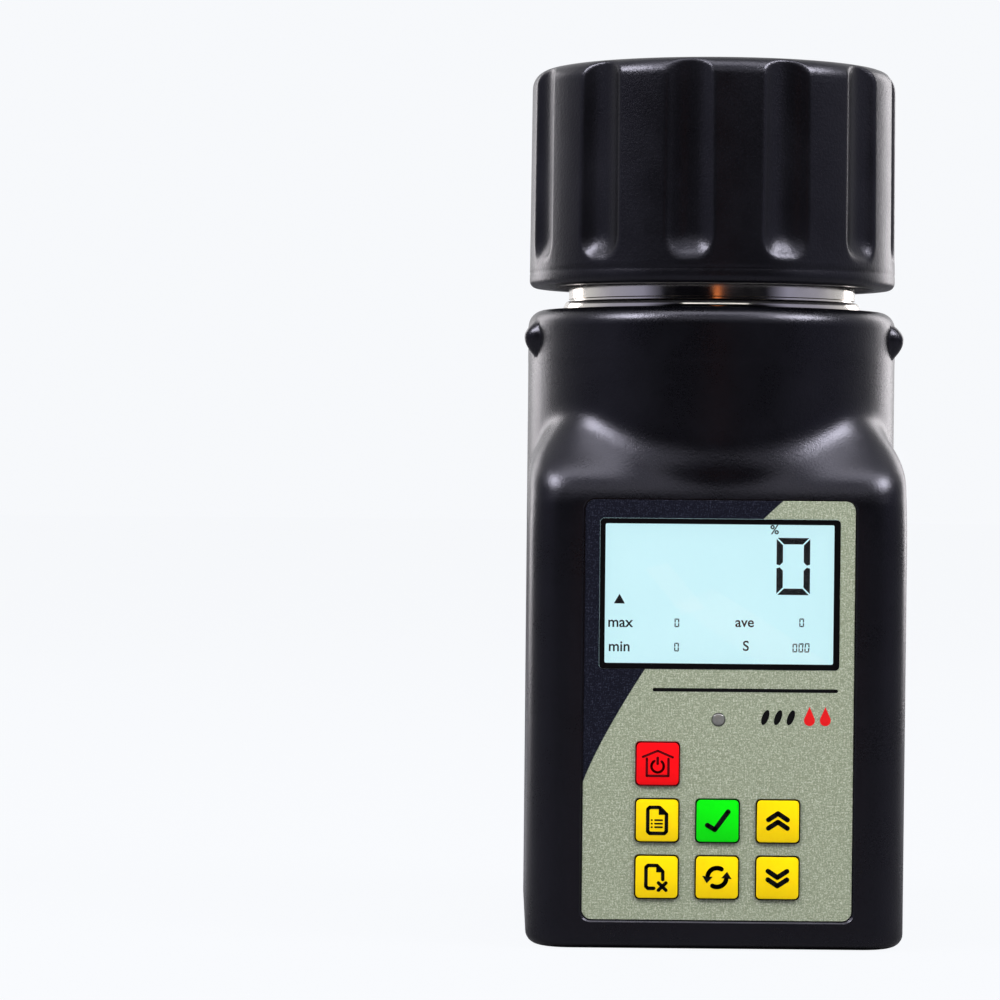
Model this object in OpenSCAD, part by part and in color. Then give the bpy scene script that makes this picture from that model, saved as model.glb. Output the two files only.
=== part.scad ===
// Handheld grain moisture meter: box-shaped body with a round neck, a metal measuring cup,
// and a fluted screw cap that presses the sample with a sprung plate.
// +Z is up, the origin is the centre of the base, and the display faces -Y.

/* [Case] */
// Width of the box-shaped body
body_w = 86.6; // [86:0.2:87]
// Depth of the box-shaped body, front face to back
body_d = 92; // [91.6:0.2:93]
// Height at which the flat front face would meet the sloping shoulder
face_h = 106; // [105.5:0.1:107]
// Radius of the round neck
neck_r = 43.6; // [43.4:0.1:44]
// Height of the top face of the neck
neck_top = 146.2; // [146:0.1:147]
// Thickness of the case walls
wall = 2.5; // [2.3:0.1:2.6]
// Radius of the upright edges
edge_r = 10; // [8:0.5:12]
// Radius of the edges round the base
base_r = 3; // [2.8:0.1:4]
// Slope of the shoulder in degrees above level
shoulder_deg = 41; // [40:1:42]

/* [Front panel] */
// Width of the label
label_w = 61.8; // [61:0.1:62]
// Height of the label
label_h = 95.9; // [95.6:0.1:96.2]
// Height of the label's lower edge above the base
label_z = 6.5; // [6.2:0.1:6.7]
// Width of the display window
window_w = 53.9; // [53:0.1:54.5]
// Height of the display window
window_h = 33.7; // [33:0.1:34]
// Height of the window's lower edge above the base
window_z = 64; // [63.8:0.1:64.4]
// Side of a square key
key_w = 10; // [9.6:0.1:10.2]
// Distance between the key columns
key_dx = 13.7; // [13.5:0.1:14]
// Distance between the key rows
key_dz = 12.85; // [12.7:0.05:13]
// Height of the centre of the lowest key row
key_z = 16.6; // [16.2:0.1:17]
// Travel of a key
key_travel = 0.4; // [0.3:0.05:0.4]

/* [Cap] */
// Outer radius of the cap
cap_r = 43.4; // [43:0.1:43.6]
// Height of the cap's lower edge
cap_z = 151.5; // [151.4:0.1:152]
// Height of the cap's top face
cap_top = 203; // [202.8:0.1:203.4]
// Number of flutes round the cap
flute_n = 12; // [10:1:14]
// Turn of the first flute from the front, in degrees
flute_turn = -10.3; // [-15:0.1:15]
// Depth of a flute
flute_depth = 2.3; // [1.6:0.1:2.5]

/* [Measuring cup] */
// Inner radius of the measuring cup
cup_r = 30; // [30:0.1:30.2]
// Height of the cup's floor
cup_floor = 116; // [114:0.5:118]
// Height of the rim of the threaded collar
rim_z = 166; // [165.5:0.1:166.2]
// Outer radius of the threaded collar
collar_r = 34.2; // [34:0.1:34.3]

/* [Hidden] */
$fn = 96;

half_w = body_w / 2;
half_d = body_d / 2;
eps = 0.01;
fit = 0.3;              // gap between moving neighbours that aren't a running fit

// Shoulder of the box and top edge of the neck
shoulder_r = 8;         // convex edge between the front face and the shoulder
block_top = 122;
block_corner_r = 16;    // upper corners of the box, seen from the front
neck_edge_r = 4;
neck_foot = 92;
lug_turn = 78;          // degrees from the front
lug_r = 3;
lug_z = 140.2;
lug_out = 42.9;
lug_tail = 5;

// Front panel, from the outside in
label_t = 0.5;
recess_t = 0.8;
label_gap = 0.25;
corner_small = 0.95;
label_corner = 2.5;
face_y = -half_d;
label_y = face_y + recess_t - label_t;
inner_y = face_y + wall;
window_t = 1.5;
glass_t = 2.6;
glass_y = inner_y + 0.2;
backlight_t = 2.6;
lcd_margin = 1.1;
key_gap = 0.2;
key_flange = 1;
key_flange_t = 0.8;
key_flange_y = inner_y + 0.1;
switch_tip_y = key_flange_y + key_flange_t + key_travel + 0.1;
switch_stem_r = 1.7;
switch_stem_t = 1.1;
switch_w = 6;
board_y = -37.5;
board_t = 1.6;
board_w = 65;
board_z = 8;
board_top = 101;
led_x = 0;
led_z = 52.4;
led_r = 1.5;
post_x = 30;
post_z = [11, 57.5];
post_r = 2.3;
pilot_r = 1;
buzzer_r = 6;
buzzer_t = 5;
buzzer_x = 20;
buzzer_z = 52;

// Screws that join the two case halves
boss_x = 36.5;
boss_z = [8.5, 72];
boss_r = 3.9;
boss_seat_y = 8;
screw_r = 1.25;
screw_in = 14;
head_r = 2.8;
head_t = 2;

// Battery bay
cell_r = 7.25;
cell_l = 50.5;
cell_dx = 15.2;
cell_y = 31;
cell_z = 8.5;
nub_r = 2.7;
nub_h = 1;
tray_w = 62.8;
tray_y = 22.5;
tray_d = 17;
tray_z = wall + 0.1;
tray_top = 62.6;
tray_wall = 1.2;
contact_t = 0.4;

// Battery door
door_w = 60.4;
door_z = 7.3;
door_top = 60.7;
door_gap = 0.3;
door_t = wall - 0.1;
hinge_y = half_d - 1.2;
hinge_z = door_z + 1.2;
hinge_r = 1.2;
hinge_pin_r = 0.8;
hinge_pin_l = 1.3;
tab_w = 12;
tab_h = 3.3;
pad_t = 4.9;

// Measuring cup and collar
collar_wall = 2.8;
collar_foot = 132;
flange_r = 35.3;
flange_t = 2;
collar_hole_r = 33.5;
nut_r = 38.5;
nut_t = 4;
sleeve_r = cup_r + 1.2;
sleeve_top = rim_z - 0.5;
sleeve_foot = cup_floor - 6;
cup_base_r = 37;
cup_base_z = cup_floor - 10;
stud_n = 3;
stud_at = 34.9;
stud_turn = 30;
stud_r = 1.2;
electrode_r = 7.5;
electrode_h = 24;
electrode_stub_r = 2.4;
probe_r = 2;
board2_r = 29;
board2_z = 98.5;

// Inside the cap
cap_edge_r = 4.2;
cap_foot_r = 2;
cap_bore_r = 38.2;
cap_roof = 3.5;
groove_z = 2.4;
groove_t = 0.35;
flute_r = 8.8;
flute_foot = 11.9;
insert_r = 34.6;
insert_z = cap_z + 1.7;
insert_top = 177;
button_bore_r = 9;
guide_r = 13;
guide_z = 195.3;
seat_r = 28;
seat_z = 192;
seat_t = 3;
stem_r = 5;
running = 0.08;
retainer_t = 3.2;
retainer_z = seat_z - fit - retainer_t;
retainer_out = 36;
retainer_in = 24.5;
pillar_at = 32;
pillar_r = 3.2;
cap_screw_r = 1.2;

// Sprung plate
plate_r = 29.4;
plate_z = 163.5;
plate_t = 4.5;
hub_r = 9;
hub_h = 4;
stem_foot = 165.5;
stem_top = 197.4;
clip_z = seat_z + seat_t + 0.1;
clip_t = 1;
clip_in = 4;
clip_out = 7.2;
button_r = 8.7;
button_top = 199;
spring_r = 18;
wire_r = 1.1;
spring_turns = 5;

case_colour = "#1b1c20";
metal_colour = "#c9c9c6";
board_colour = "#1f5a34";
steel_colour = "#8f9296";
yellow_key = "#f2d21f";

// Flat shapes and helpers

module rounded(w, h, r) {
    square([w - 2 * r, h], center = true);
    square([w, h - 2 * r], center = true);
    for (x = [-1, 1], y = [-1, 1])
        translate([x * (w / 2 - r), y * (h / 2 - r)])
            circle(r);
}

// A rounded plate that stands in the XZ plane, from y to y + t, centred on x and z
module panel(x, z, w, h, r, y, t) {
    translate([x, y + t, z])
        rotate([90, 0, 0])
            linear_extrude(t)
                rounded(w, h, r);
}

// A round rod along Y, from y to y + t
module rod_y(x, z, r, y, t) {
    translate([x, y, z])
        rotate([-90, 0, 0])
            cylinder(h = t, r = r);
}

module ring(r_out, r_in, z, h) {
    translate([0, 0, z])
        difference() {
            cylinder(h = h, r = r_out);
            translate([0, 0, -1])
                cylinder(h = h + 2, r = r_in);
        }
}

// A wire of round section along straight runs, with a slightly larger ball at each bend
module wire(path, r) {
    bend = 1.2;
    for (i = [0 : len(path) - 2]) {
        step = path[i + 1] - path[i];
        run = norm(step);
        translate(path[i])
            rotate([0, acos(step[2] / run), atan2(step[1], step[0])])
                cylinder(h = run, r = r, $fn = 24);
    }
    for (i = [1 : len(path) - 2])
        translate(path[i])
            sphere(bend * r, $fn = 24);
}

// Outline of the box from the front: w wide, round at the base and at the shoulders
module front_outline(inset) {
    w = half_w - inset;
    foot_r = base_r - inset / 2;
    top_r = block_corner_r - inset;
    top = block_top - inset;
    translate([-w, inset + foot_r])
        square([2 * w, top - inset - foot_r - top_r]);
    translate([-w + foot_r, inset])
        square([2 * (w - foot_r), top - inset - top_r]);
    translate([-w + top_r, inset + foot_r])
        square([2 * (w - top_r), top - inset - foot_r]);
    for (x = [-1, 1]) {
        translate([x * (w - foot_r), inset + foot_r])
            circle(foot_r);
        translate([x * (w - top_r), top - top_r])
            circle(top_r);
    }
}

// Outline of the box from the side: the shoulders slope in towards the neck
module side_outline(inset) {
    d = half_d - inset;
    foot_r = base_r - inset / 2;
    edge = shoulder_r - inset;
    turn = 90 - shoulder_deg;
    tangent = edge * tan(turn / 2);
    corner_z = face_h - inset * tan(turn / 2);
    top = block_top + 4;
    run = (top - corner_z) / tan(shoulder_deg);
    polygon([
        [-d + foot_r, inset], [d - foot_r, inset], [d, inset + foot_r], [d, corner_z - tangent],
        [d - tangent * cos(shoulder_deg), corner_z + tangent * sin(shoulder_deg)],
        [d - run, top], [-d + run, top],
        [-d + tangent * cos(shoulder_deg), corner_z + tangent * sin(shoulder_deg)],
        [-d, corner_z - tangent], [-d, inset + foot_r]
    ]);
    for (y = [-1, 1]) {
        translate([y * (d - foot_r), inset + foot_r])
            circle(foot_r);
        translate([y * (d - edge), corner_z - tangent])
            circle(edge);
    }
}

module neck_form(inset) {
    r = neck_r - inset;
    top = neck_top - inset;
    edge = neck_edge_r - inset;
    rotate_extrude() {
        translate([0, neck_foot])
            square([r, top - neck_foot - edge]);
        translate([0, neck_foot])
            square([r - edge, top - neck_foot]);
        translate([r - edge, top - edge])
            intersection() {
                circle(edge);
                square(edge);
            }
    }
}

// The whole case as one solid, drawn in on every side by inset
module case_form(inset) {
    intersection() {
        translate([0, 0, -1])
            linear_extrude(block_top + 8)
                rounded(body_w - 2 * inset, body_d - 2 * inset, edge_r - inset);
        translate([0, half_d + 5, 0])
            rotate([90, 0, 0])
                linear_extrude(body_d + 10)
                    front_outline(inset);
        translate([-half_w - 5, 0, 0])
            rotate([90, 0, 90])
                linear_extrude(body_w + 10)
                    side_outline(inset);
    }
    neck_form(inset);
}

module case_wall() {
    difference() {
        case_form(0);
        case_form(wall);
        translate([0, 0, neck_top - 2 * wall])
            cylinder(h = 4 * wall, r = collar_hole_r);
    }
}

module half_space(side) {
    translate([-100, side > 0 ? 0 : -200, -10])
        cube([200, 200, 260]);
}

module lug() {
    translate([lug_out, 0, lug_z])
        sphere(lug_r, $fn = 48);
    translate([lug_out - 1.1, 0, lug_z - lug_tail])
        cylinder(h = lug_tail, r1 = 0.6, r2 = 2.5, $fn = 48);
}

// Where each key stands: name order is power, record, delete, ok, cycle, up, down
function key_place(column, row) = [column * key_dx, key_z + row * key_dz];
key_places = [
    key_place(-1, 2), key_place(-1, 1), key_place(-1, 0), key_place(0, 1),
    key_place(0, 0), key_place(1, 1), key_place(1, 0)
];

// Case

module front_shell() {
    label_mid = label_z + label_h / 2;
    window_mid = window_z + window_h / 2;
    opening = key_w + 2 * key_gap;
    color(case_colour)
        difference() {
            union() {
                intersection() {
                    case_wall();
                    half_space(-1);
                }
                for (x = [-boss_x, boss_x], z = boss_z)
                    rod_y(x, z, boss_r, inner_y - eps, -inner_y);
                for (x = [-post_x, post_x], z = post_z)
                    rod_y(x, z, post_r, inner_y - eps, board_y - inner_y);
                intersection() {
                    for (a = [-lug_turn, lug_turn])
                        rotate([0, 0, a - 90])
                            lug();
                    difference() {
                        half_space(-1);
                        neck_form(wall / 2);
                    }
                }
            }
            panel(0, label_mid, label_w, label_h, label_corner, face_y - 1, 1 + recess_t);
            panel(0, window_mid, window_w, window_h, corner_small, face_y - 1, wall + 2);
            for (p = key_places)
                panel(p[0], p[1], opening, opening, corner_small, face_y - 1, wall + 2);
            rod_y(led_x, led_z, led_r + 0.1, face_y - 1, wall + 2);
            for (x = [-boss_x, boss_x], z = boss_z)
                rod_y(x, z, screw_r, -screw_in - 1, screw_in + 2);
            for (x = [-post_x, post_x], z = post_z)
                rod_y(x, z, pilot_r, inner_y + 0.5, 10);
        }
}

module rear_shell() {
    door_h = door_top - door_z;
    tab_gap = 0.3;
    color(case_colour)
        difference() {
            union() {
                intersection() {
                    case_wall();
                    half_space(1);
                }
                for (x = [-boss_x, boss_x], z = boss_z)
                    rod_y(x, z, boss_r, 0, half_d - wall + eps);
            }
            translate([-door_w / 2 - door_gap, half_d - wall - 1, door_z - door_gap])
                cube([door_w + 2 * door_gap, wall + 2, door_h + 2 * door_gap]);
            translate([-tab_w / 2 - tab_gap, half_d - wall + 0.6, door_top - 1])
                cube([tab_w + 2 * tab_gap, wall, tab_h + 1 + tab_gap]);
            translate([-door_w / 2 - door_gap - hinge_pin_l, hinge_y, hinge_z])
                rotate([0, 90, 0])
                    cylinder(h = door_w + 2 * (door_gap + hinge_pin_l), r = hinge_pin_r + 0.06);
            for (x = [-boss_x, boss_x], z = boss_z) {
                rod_y(x, z, screw_r + 0.4, -1, half_d);
                rod_y(x, z, head_r + 0.4, boss_seat_y, half_d);
            }
        }
}

module housing_screws() {
    color(steel_colour)
        for (x = [-boss_x, boss_x], z = boss_z)
            difference() {
                union() {
                    rod_y(x, z, head_r, boss_seat_y, head_t);
                    rod_y(x, z, screw_r, -screw_in, screw_in + boss_seat_y + eps);
                }
                for (a = [0, 90])
                    translate([x, boss_seat_y + head_t, z])
                        rotate([0, a, 0])
                            cube([3.2, 2, 0.7], center = true);
            }
}

// Measuring cup

module threaded_collar() {
    color(metal_colour)
        difference() {
            union() {
                translate([0, 0, collar_foot])
                    cylinder(h = neck_top - collar_foot + 1, r = collar_hole_r - 0.1);
                translate([0, 0, neck_top])
                    cylinder(h = flange_t, r = flange_r);
                translate([0, 0, neck_top + flange_t - eps])
                    cylinder(h = rim_z - neck_top - flange_t - 0.6 + eps, r = collar_r);
                translate([0, 0, rim_z - 0.6 - eps])
                    cylinder(h = 0.6 + eps, r1 = collar_r, r2 = collar_r - 0.6);
            }
            translate([0, 0, collar_foot - 1])
                cylinder(h = rim_z - collar_foot + 2, r = collar_r - collar_wall);
        }
}

module collar_seal() {
    seal_t = 0.9;
    color("#101012")
        ring(collar_hole_r + 1.6, collar_hole_r - 0.1, neck_top - wall - seal_t, seal_t);
}

module collar_nut() {
    slot_w = 6;
    nut_z = neck_top - wall - 0.9 - nut_t;
    color(steel_colour)
        difference() {
            ring(nut_r, collar_hole_r - 0.1, nut_z, nut_t);
            for (a = [30 : 60 : 330])
                rotate([0, 0, a])
                    translate([nut_r, 0, nut_z + nut_t / 2])
                        cube([3, slot_w, nut_t + 2], center = true);
        }
}

module cup_sleeve() {
    color(metal_colour)
        ring(sleeve_r, cup_r, sleeve_foot, sleeve_top - sleeve_foot);
}

module cup_base() {
    color("#2a2a2c")
        difference() {
            union() {
                translate([0, 0, sleeve_foot])
                    cylinder(h = cup_floor - sleeve_foot, r = cup_r - 0.05);
                translate([0, 0, cup_base_z])
                    cylinder(h = sleeve_foot - cup_base_z, r = cup_base_r);
            }
            translate([0, 0, cup_base_z - 1])
                cylinder(h = 20, r = electrode_stub_r);
            for (i = [0 : stud_n - 1])
                rotate([0, 0, stud_turn + i * 360 / stud_n])
                    translate([stud_at, 0, cup_base_z - 1])
                        cylinder(h = 20, r = stud_r);
        }
}

module cup_studs() {
    nut_foot = neck_top - wall - 0.9 - nut_t;
    color(steel_colour)
        for (i = [0 : stud_n - 1])
            rotate([0, 0, stud_turn + i * 360 / stud_n])
                translate([stud_at, 0, 0]) {
                    translate([0, 0, cup_base_z])
                        cylinder(h = nut_foot - cup_base_z, r = stud_r);
                    translate([0, 0, cup_base_z - 1.6])
                        cylinder(h = 1.6 + eps, r = 2.2);
                }
}

module centre_electrode() {
    dome = 2.5;
    color(metal_colour) {
        rotate_extrude() {
            translate([0, cup_floor])
                square([electrode_r, electrode_h - dome]);
            translate([0, cup_floor])
                square([electrode_r - dome, electrode_h]);
            translate([electrode_r - dome, cup_floor + electrode_h - dome])
                intersection() {
                    circle(dome);
                    square(dome);
                }
        }
        translate([0, 0, cup_base_z - 4])
            cylinder(h = cup_floor - cup_base_z + 4 + eps, r = electrode_stub_r);
    }
}

module electrode_nut() {
    color(steel_colour)
        translate([0, 0, cup_base_z - 2.8])
            difference() {
                cylinder(h = 2.8, r = 4.6, $fn = 6);
                translate([0, 0, -1])
                    cylinder(h = 6, r = electrode_stub_r);
            }
}

module temperature_probe() {
    probe_z = cup_floor + 4;
    color("#b9b9b4") {
        translate([0, sleeve_r + probe_r, probe_z])
            cylinder(h = 9, r = probe_r, $fn = 48);
        translate([0, sleeve_r + probe_r, probe_z + 9])
            sphere(probe_r, $fn = 48);
    }
}

module sensor_board() {
    chip_h = 1.6;
    color(board_colour)
        translate([0, 0, board2_z])
            difference() {
                cylinder(h = board_t, r = board2_r);
                translate([0, 0, -1])
                    cylinder(h = board_t + 2, r = electrode_stub_r + 3);
            }
    color("#1a1a1a") {
        translate([10, 6, board2_z - chip_h])
            cube([9, 9, chip_h]);
        translate([-20, -4, board2_z - chip_h])
            cube([7, 11, chip_h]);
    }
}

module signal_leads() {
    lead_r = 0.6;
    board_back = board_y + board_t;
    top = board2_z + board_t;
    probe_y = sleeve_r + probe_r;
    color("#b5322a")
        wire([[12, -20, board2_z], [12, -20, 94], [12, board_back, 94]], lead_r);
    color("#e8e4d8")
        wire([[15, -18, board2_z], [15, -18, 91], [15, board_back, 91]], lead_r);
    color("#3a64a8")
        wire([[0, probe_y, cup_floor + 4], [0, probe_y, cup_floor + 2], [0, 40, cup_floor + 2],
              [0, 40, top + 3], [0, 26, top + 3], [0, 26, top]], lead_r);
}

// Electronics behind the front panel

module main_board() {
    chip_h = 1.5;
    back = board_y + board_t;
    color(board_colour)
        difference() {
            translate([-board_w / 2, board_y, board_z])
                cube([board_w, board_t, board_top - board_z]);
            for (x = [-post_x, post_x], z = post_z)
                rod_y(x, z, pilot_r + 0.2, board_y - 1, board_t + 2);
        }
    color("#1a1a1a") {
        translate([-7, back - eps, 60])
            cube([14, chip_h, 14]);
        translate([-24, back - eps, 34])
            cube([8, chip_h, 6]);
        translate([14, back - eps, 26])
            cube([6, chip_h, 9]);
    }
}

module board_screws() {
    back = board_y + board_t;
    color(steel_colour)
        for (x = [-post_x, post_x], z = post_z) {
            rod_y(x, z, 2, back, 1.4);
            rod_y(x, z, pilot_r, back - 5.5, 5.5 + eps);
        }
}

module lcd_panel() {
    mid = window_z + window_h / 2;
    color("#cdeff2")
        panel(0, mid, window_w + 2 * lcd_margin, window_h + 2 * lcd_margin, 0.5, glass_y, glass_t);
}

module lcd_backlight() {
    mid = window_z + window_h / 2;
    grow = 2 * lcd_margin + 1.4;
    color("#e9ecea")
        panel(0, mid, window_w + grow, window_h + grow, 0.5, glass_y + glass_t, backlight_t);
}

module lcd_pins() {
    pin_w = 0.5;
    pin_n = 20;
    pitch = 2.4;
    y = glass_y + glass_t + backlight_t;
    color("#c8b46a")
        for (i = [0 : pin_n - 1])
            translate([(i - (pin_n - 1) / 2) * pitch - pin_w / 2, y, window_z - 0.6])
                cube([pin_w, board_y - y, pin_w]);
}

module display_window() {
    color("#d9f2f4", 0.5)
        panel(0, window_z + window_h / 2, window_w - 0.1, window_h - 0.1, corner_small - 0.05, label_y, window_t);
}

module label_overlay() {
    mid = label_z + label_h / 2;
    opening = key_w + 2 * key_gap;
    color("#a3a88a")
        difference() {
            panel(0, mid, label_w - 2 * label_gap, label_h - 2 * label_gap, label_corner - label_gap,
                label_y, label_t);
            panel(0, window_z + window_h / 2, window_w, window_h, corner_small, label_y - 1, 3);
            for (p = key_places)
                panel(p[0], p[1], opening, opening, corner_small, label_y - 1, 3);
            rod_y(led_x, led_z, led_r + 0.1, label_y - 1, 3);
        }
}

module key_switches() {
    body_y = switch_tip_y + switch_stem_t;
    for (p = key_places) {
        color("#222224")
            translate([p[0] - switch_w / 2, body_y, p[1] - switch_w / 2])
                cube([switch_w, board_y - body_y, switch_w]);
        color("#d8d3c4")
            rod_y(p[0], p[1], switch_stem_r, switch_tip_y, switch_stem_t + eps);
    }
}

module indicator_led() {
    color("#8d9090") {
        rod_y(led_x, led_z, led_r, label_y - 0.1, 5);
        rod_y(led_x, led_z, led_r + 0.5, inner_y + 0.2, 1.2);
    }
    color(steel_colour)
        for (x = [-0.7, 0.7])
            rod_y(led_x + x, led_z, 0.25, label_y + 4.8, board_y - label_y - 4.8);
}

module buzzer() {
    back = board_y + board_t;
    color("#161616")
        difference() {
            rod_y(buzzer_x, buzzer_z, buzzer_r, back, buzzer_t);
            rod_y(buzzer_x, buzzer_z, 1, back + 2, buzzer_t);
        }
}

// A square key with a flange behind the panel
module key_at(index) {
    p = key_places[index];
    flange = key_w + 2 * key_flange;
    panel(p[0], p[1], key_w, key_w, corner_small, face_y, key_flange_y - face_y + 0.2);
    panel(p[0], p[1], flange, flange, corner_small, key_flange_y, key_flange_t);
}

module key_power() {
    color("#d2232a")
        key_at(0);
}

module key_record() {
    color(yellow_key)
        key_at(1);
}

module key_delete() {
    color(yellow_key)
        key_at(2);
}

module key_ok() {
    color("#2fc24a")
        key_at(3);
}

module key_cycle() {
    color(yellow_key)
        key_at(4);
}

module key_up() {
    color(yellow_key)
        key_at(5);
}

module key_down() {
    color(yellow_key)
        key_at(6);
}

// Batteries

module battery_tray() {
    color("#26272a")
        difference() {
            translate([-tray_w / 2, tray_y, tray_z])
                cube([tray_w, tray_d, tray_top - tray_z]);
            translate([-tray_w / 2 + tray_wall, tray_y + tray_wall, cell_z - 2.8])
                cube([tray_w - 2 * tray_wall, tray_d, cell_l + 5.1]);
        }
}

module battery(index) {
    x = (index - 1.5) * cell_dx;
    up = index % 2 == 0;
    low = cell_z + (up ? 0 : nub_h);
    color("#3b6ea5")
        translate([x, cell_y, low])
            cylinder(h = cell_l - nub_h, r = cell_r);
    color("#c9c9c9")
        translate([x, cell_y, up ? cell_z + cell_l - nub_h - eps : cell_z])
            cylinder(h = nub_h + eps, r = nub_r);
}

module battery_1() {
    battery(0);
}

module battery_2() {
    battery(1);
}

module battery_3() {
    battery(2);
}

module battery_4() {
    battery(3);
}

// Spring contacts under the flat ends and plates over the raised ends
module battery_contacts() {
    low = cell_z - 2.8;
    high = cell_z + cell_l + 2.3;
    color("#b9bcc0")
        for (i = [0 : 3]) {
            x = (i - 1.5) * cell_dx;
            up = i % 2 == 0;
            spring_z = up ? low : high;
            plate_z = up ? high - contact_t : low;
            dir = up ? 1 : -1;
            room = up ? cell_z - low : high - cell_z - cell_l;
            translate([x - 5, cell_y - 5, plate_z])
                cube([10, 10, contact_t]);
            translate([x - 1.5, cell_y - 1.5, up ? high - 2.3 : low])
                cube([3, 3, up ? 2.3 : 2.8]);
            for (k = [0 : 2])
                translate([x, cell_y, spring_z + dir * room * (k + 0.5) / 3])
                    rotate_extrude()
                        translate([4.6 - k, 0])
                            circle(room / 6 - 0.01, $fn = 24);
        }
}

module battery_leads() {
    lead_r = 0.6;
    back = board_y + board_t;
    color("#c0282a")
        wire([[-20, 25, tray_top], [-20, 25, 68], [-20, -28, 70], [-20, -31, 62], [-20, back, 60]], lead_r);
    color("#1c1c1e")
        wire([[-16, 25, tray_top], [-16, 25, 67], [-16, -28, 68], [-16, -31, 60], [-16, back, 58]], lead_r);
}

module battery_door() {
    grip_n = 5;
    color(case_colour)
        difference() {
            union() {
                translate([-door_w / 2, half_d - door_t, hinge_z])
                    cube([door_w, door_t, door_top - hinge_z]);
                translate([-door_w / 2, hinge_y, hinge_z])
                    rotate([0, 90, 0])
                        cylinder(h = door_w, r = hinge_r);
                translate([-door_w / 2 - hinge_pin_l, hinge_y, hinge_z])
                    rotate([0, 90, 0])
                        cylinder(h = door_w + 2 * hinge_pin_l, r = hinge_pin_r);
                translate([-tab_w / 2, half_d - 1.5, door_top - 1])
                    cube([tab_w, 1.1, tab_h + 1]);
            }
            for (i = [0 : grip_n - 1])
                translate([-9, half_d - 0.5, door_top - 14 + 2.2 * i])
                    cube([18, 2, 1]);
        }
}

module door_pad() {
    color("#3c3c3f")
        translate([-25, half_d - door_t - pad_t, 20])
            cube([50, pad_t, 30]);
}

// Screw cap and its sprung plate

module cap_profile() {
    translate([0, cap_z])
        square([cap_r - cap_foot_r, cap_top - cap_z]);
    translate([0, cap_z + cap_foot_r])
        square([cap_r, cap_top - cap_z - cap_foot_r - cap_edge_r]);
    translate([0, cap_z + cap_foot_r])
        square([cap_r - cap_edge_r, cap_top - cap_z - cap_foot_r]);
    translate([cap_r - cap_foot_r, cap_z + cap_foot_r])
        circle(cap_foot_r);
}

module cap_solid() {
    rotate_extrude()
        difference() {
            cap_profile();
            difference() {
                translate([cap_r - cap_edge_r, cap_top - cap_edge_r])
                    square(cap_edge_r + 1);
                translate([cap_r - cap_edge_r, cap_top - cap_edge_r])
                    circle(cap_edge_r);
            }
            translate([cap_r - groove_t, cap_z + groove_z])
                square([1, groove_t]);
        }
}

module cap_shell() {
    color(case_colour)
        difference() {
            union() {
                difference() {
                    cap_solid();
                    translate([0, 0, cap_z - 1])
                        cylinder(h = cap_top - cap_roof - cap_z + 1, r = cap_bore_r);
                }
                translate([0, 0, guide_z])
                    cylinder(h = cap_top - cap_roof - guide_z + eps, r = guide_r);
                for (i = [0 : 2])
                    rotate([0, 0, i * 120])
                        translate([pillar_at, 0, retainer_z + retainer_t])
                            cylinder(h = cap_top - cap_roof - retainer_z - retainer_t + eps, r = pillar_r);
            }
            translate([0, 0, guide_z - 1])
                cylinder(h = 20, r = button_bore_r);
            for (i = [0 : 2])
                rotate([0, 0, i * 120])
                    translate([pillar_at, 0, retainer_z])
                        cylinder(h = 10, r = cap_screw_r);
            for (i = [0 : flute_n - 1])
                rotate([0, 0, -90 + flute_turn + i * 360 / flute_n])
                    translate([cap_r - flute_depth + flute_r, 0, cap_z + flute_foot]) {
                        sphere(flute_r);
                        cylinder(h = 60, r = flute_r);
                    }
        }
}

module cap_insert() {
    color("#2b2c2f")
        ring(cap_bore_r, insert_r, insert_z, insert_top - insert_z);
}

module seat_retainer() {
    color("#2f3033")
        difference() {
            ring(retainer_out, retainer_in, retainer_z, retainer_t);
            for (i = [0 : 2])
                rotate([0, 0, i * 120])
                    translate([pillar_at, 0, retainer_z - 1])
                        cylinder(h = 10, r = cap_screw_r);
        }
}

module retainer_screws() {
    color(steel_colour)
        for (i = [0 : 2])
            rotate([0, 0, i * 120])
                translate([pillar_at, 0, retainer_z - 1.2]) {
                    cylinder(h = 10.2, r = cap_screw_r - 0.02);
                    cylinder(h = 1.2, r = 2.4);
                }
}

module spring_seat() {
    color(steel_colour)
        ring(seat_r, stem_r + running, seat_z, seat_t);
}

// Helical wire between the seat and the plate, with its end turns laid flat
function spring_height(t) = let(n = spring_turns, low = plate_z + plate_t + wire_r + 0.05,
    high = seat_z - wire_r - 0.05, u = (t - 0.75) / (n - 1.5)) low + (high - low) * max(0, min(1, u));
function spring_ring(t) = let(a = 360 * t, z = spring_height(t)) [
    for (k = [0 : 7]) let(b = 45 * k)
        [(spring_r + wire_r * cos(b)) * cos(a), (spring_r + wire_r * cos(b)) * sin(a), z + wire_r * sin(b)]
];

module pressure_spring() {
    steps = spring_turns * 24;
    rise = plate_z + plate_t;
    rings = [for (i = [0 : steps]) spring_ring(i * spring_turns / steps)];
    points = [for (one = rings) for (p = one) p];
    sides = [for (i = [0 : steps - 1]) for (k = [0 : 7])
        [i * 8 + k, i * 8 + (k + 1) % 8, (i + 1) * 8 + (k + 1) % 8, (i + 1) * 8 + k]];
    ends = [[for (k = [7 : -1 : 0]) k], [for (k = [0 : 7]) steps * 8 + k]];
    assert(rise < seat_z);
    color("#b4b8bc")
        polyhedron(points, concat(sides, ends));
}

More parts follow.
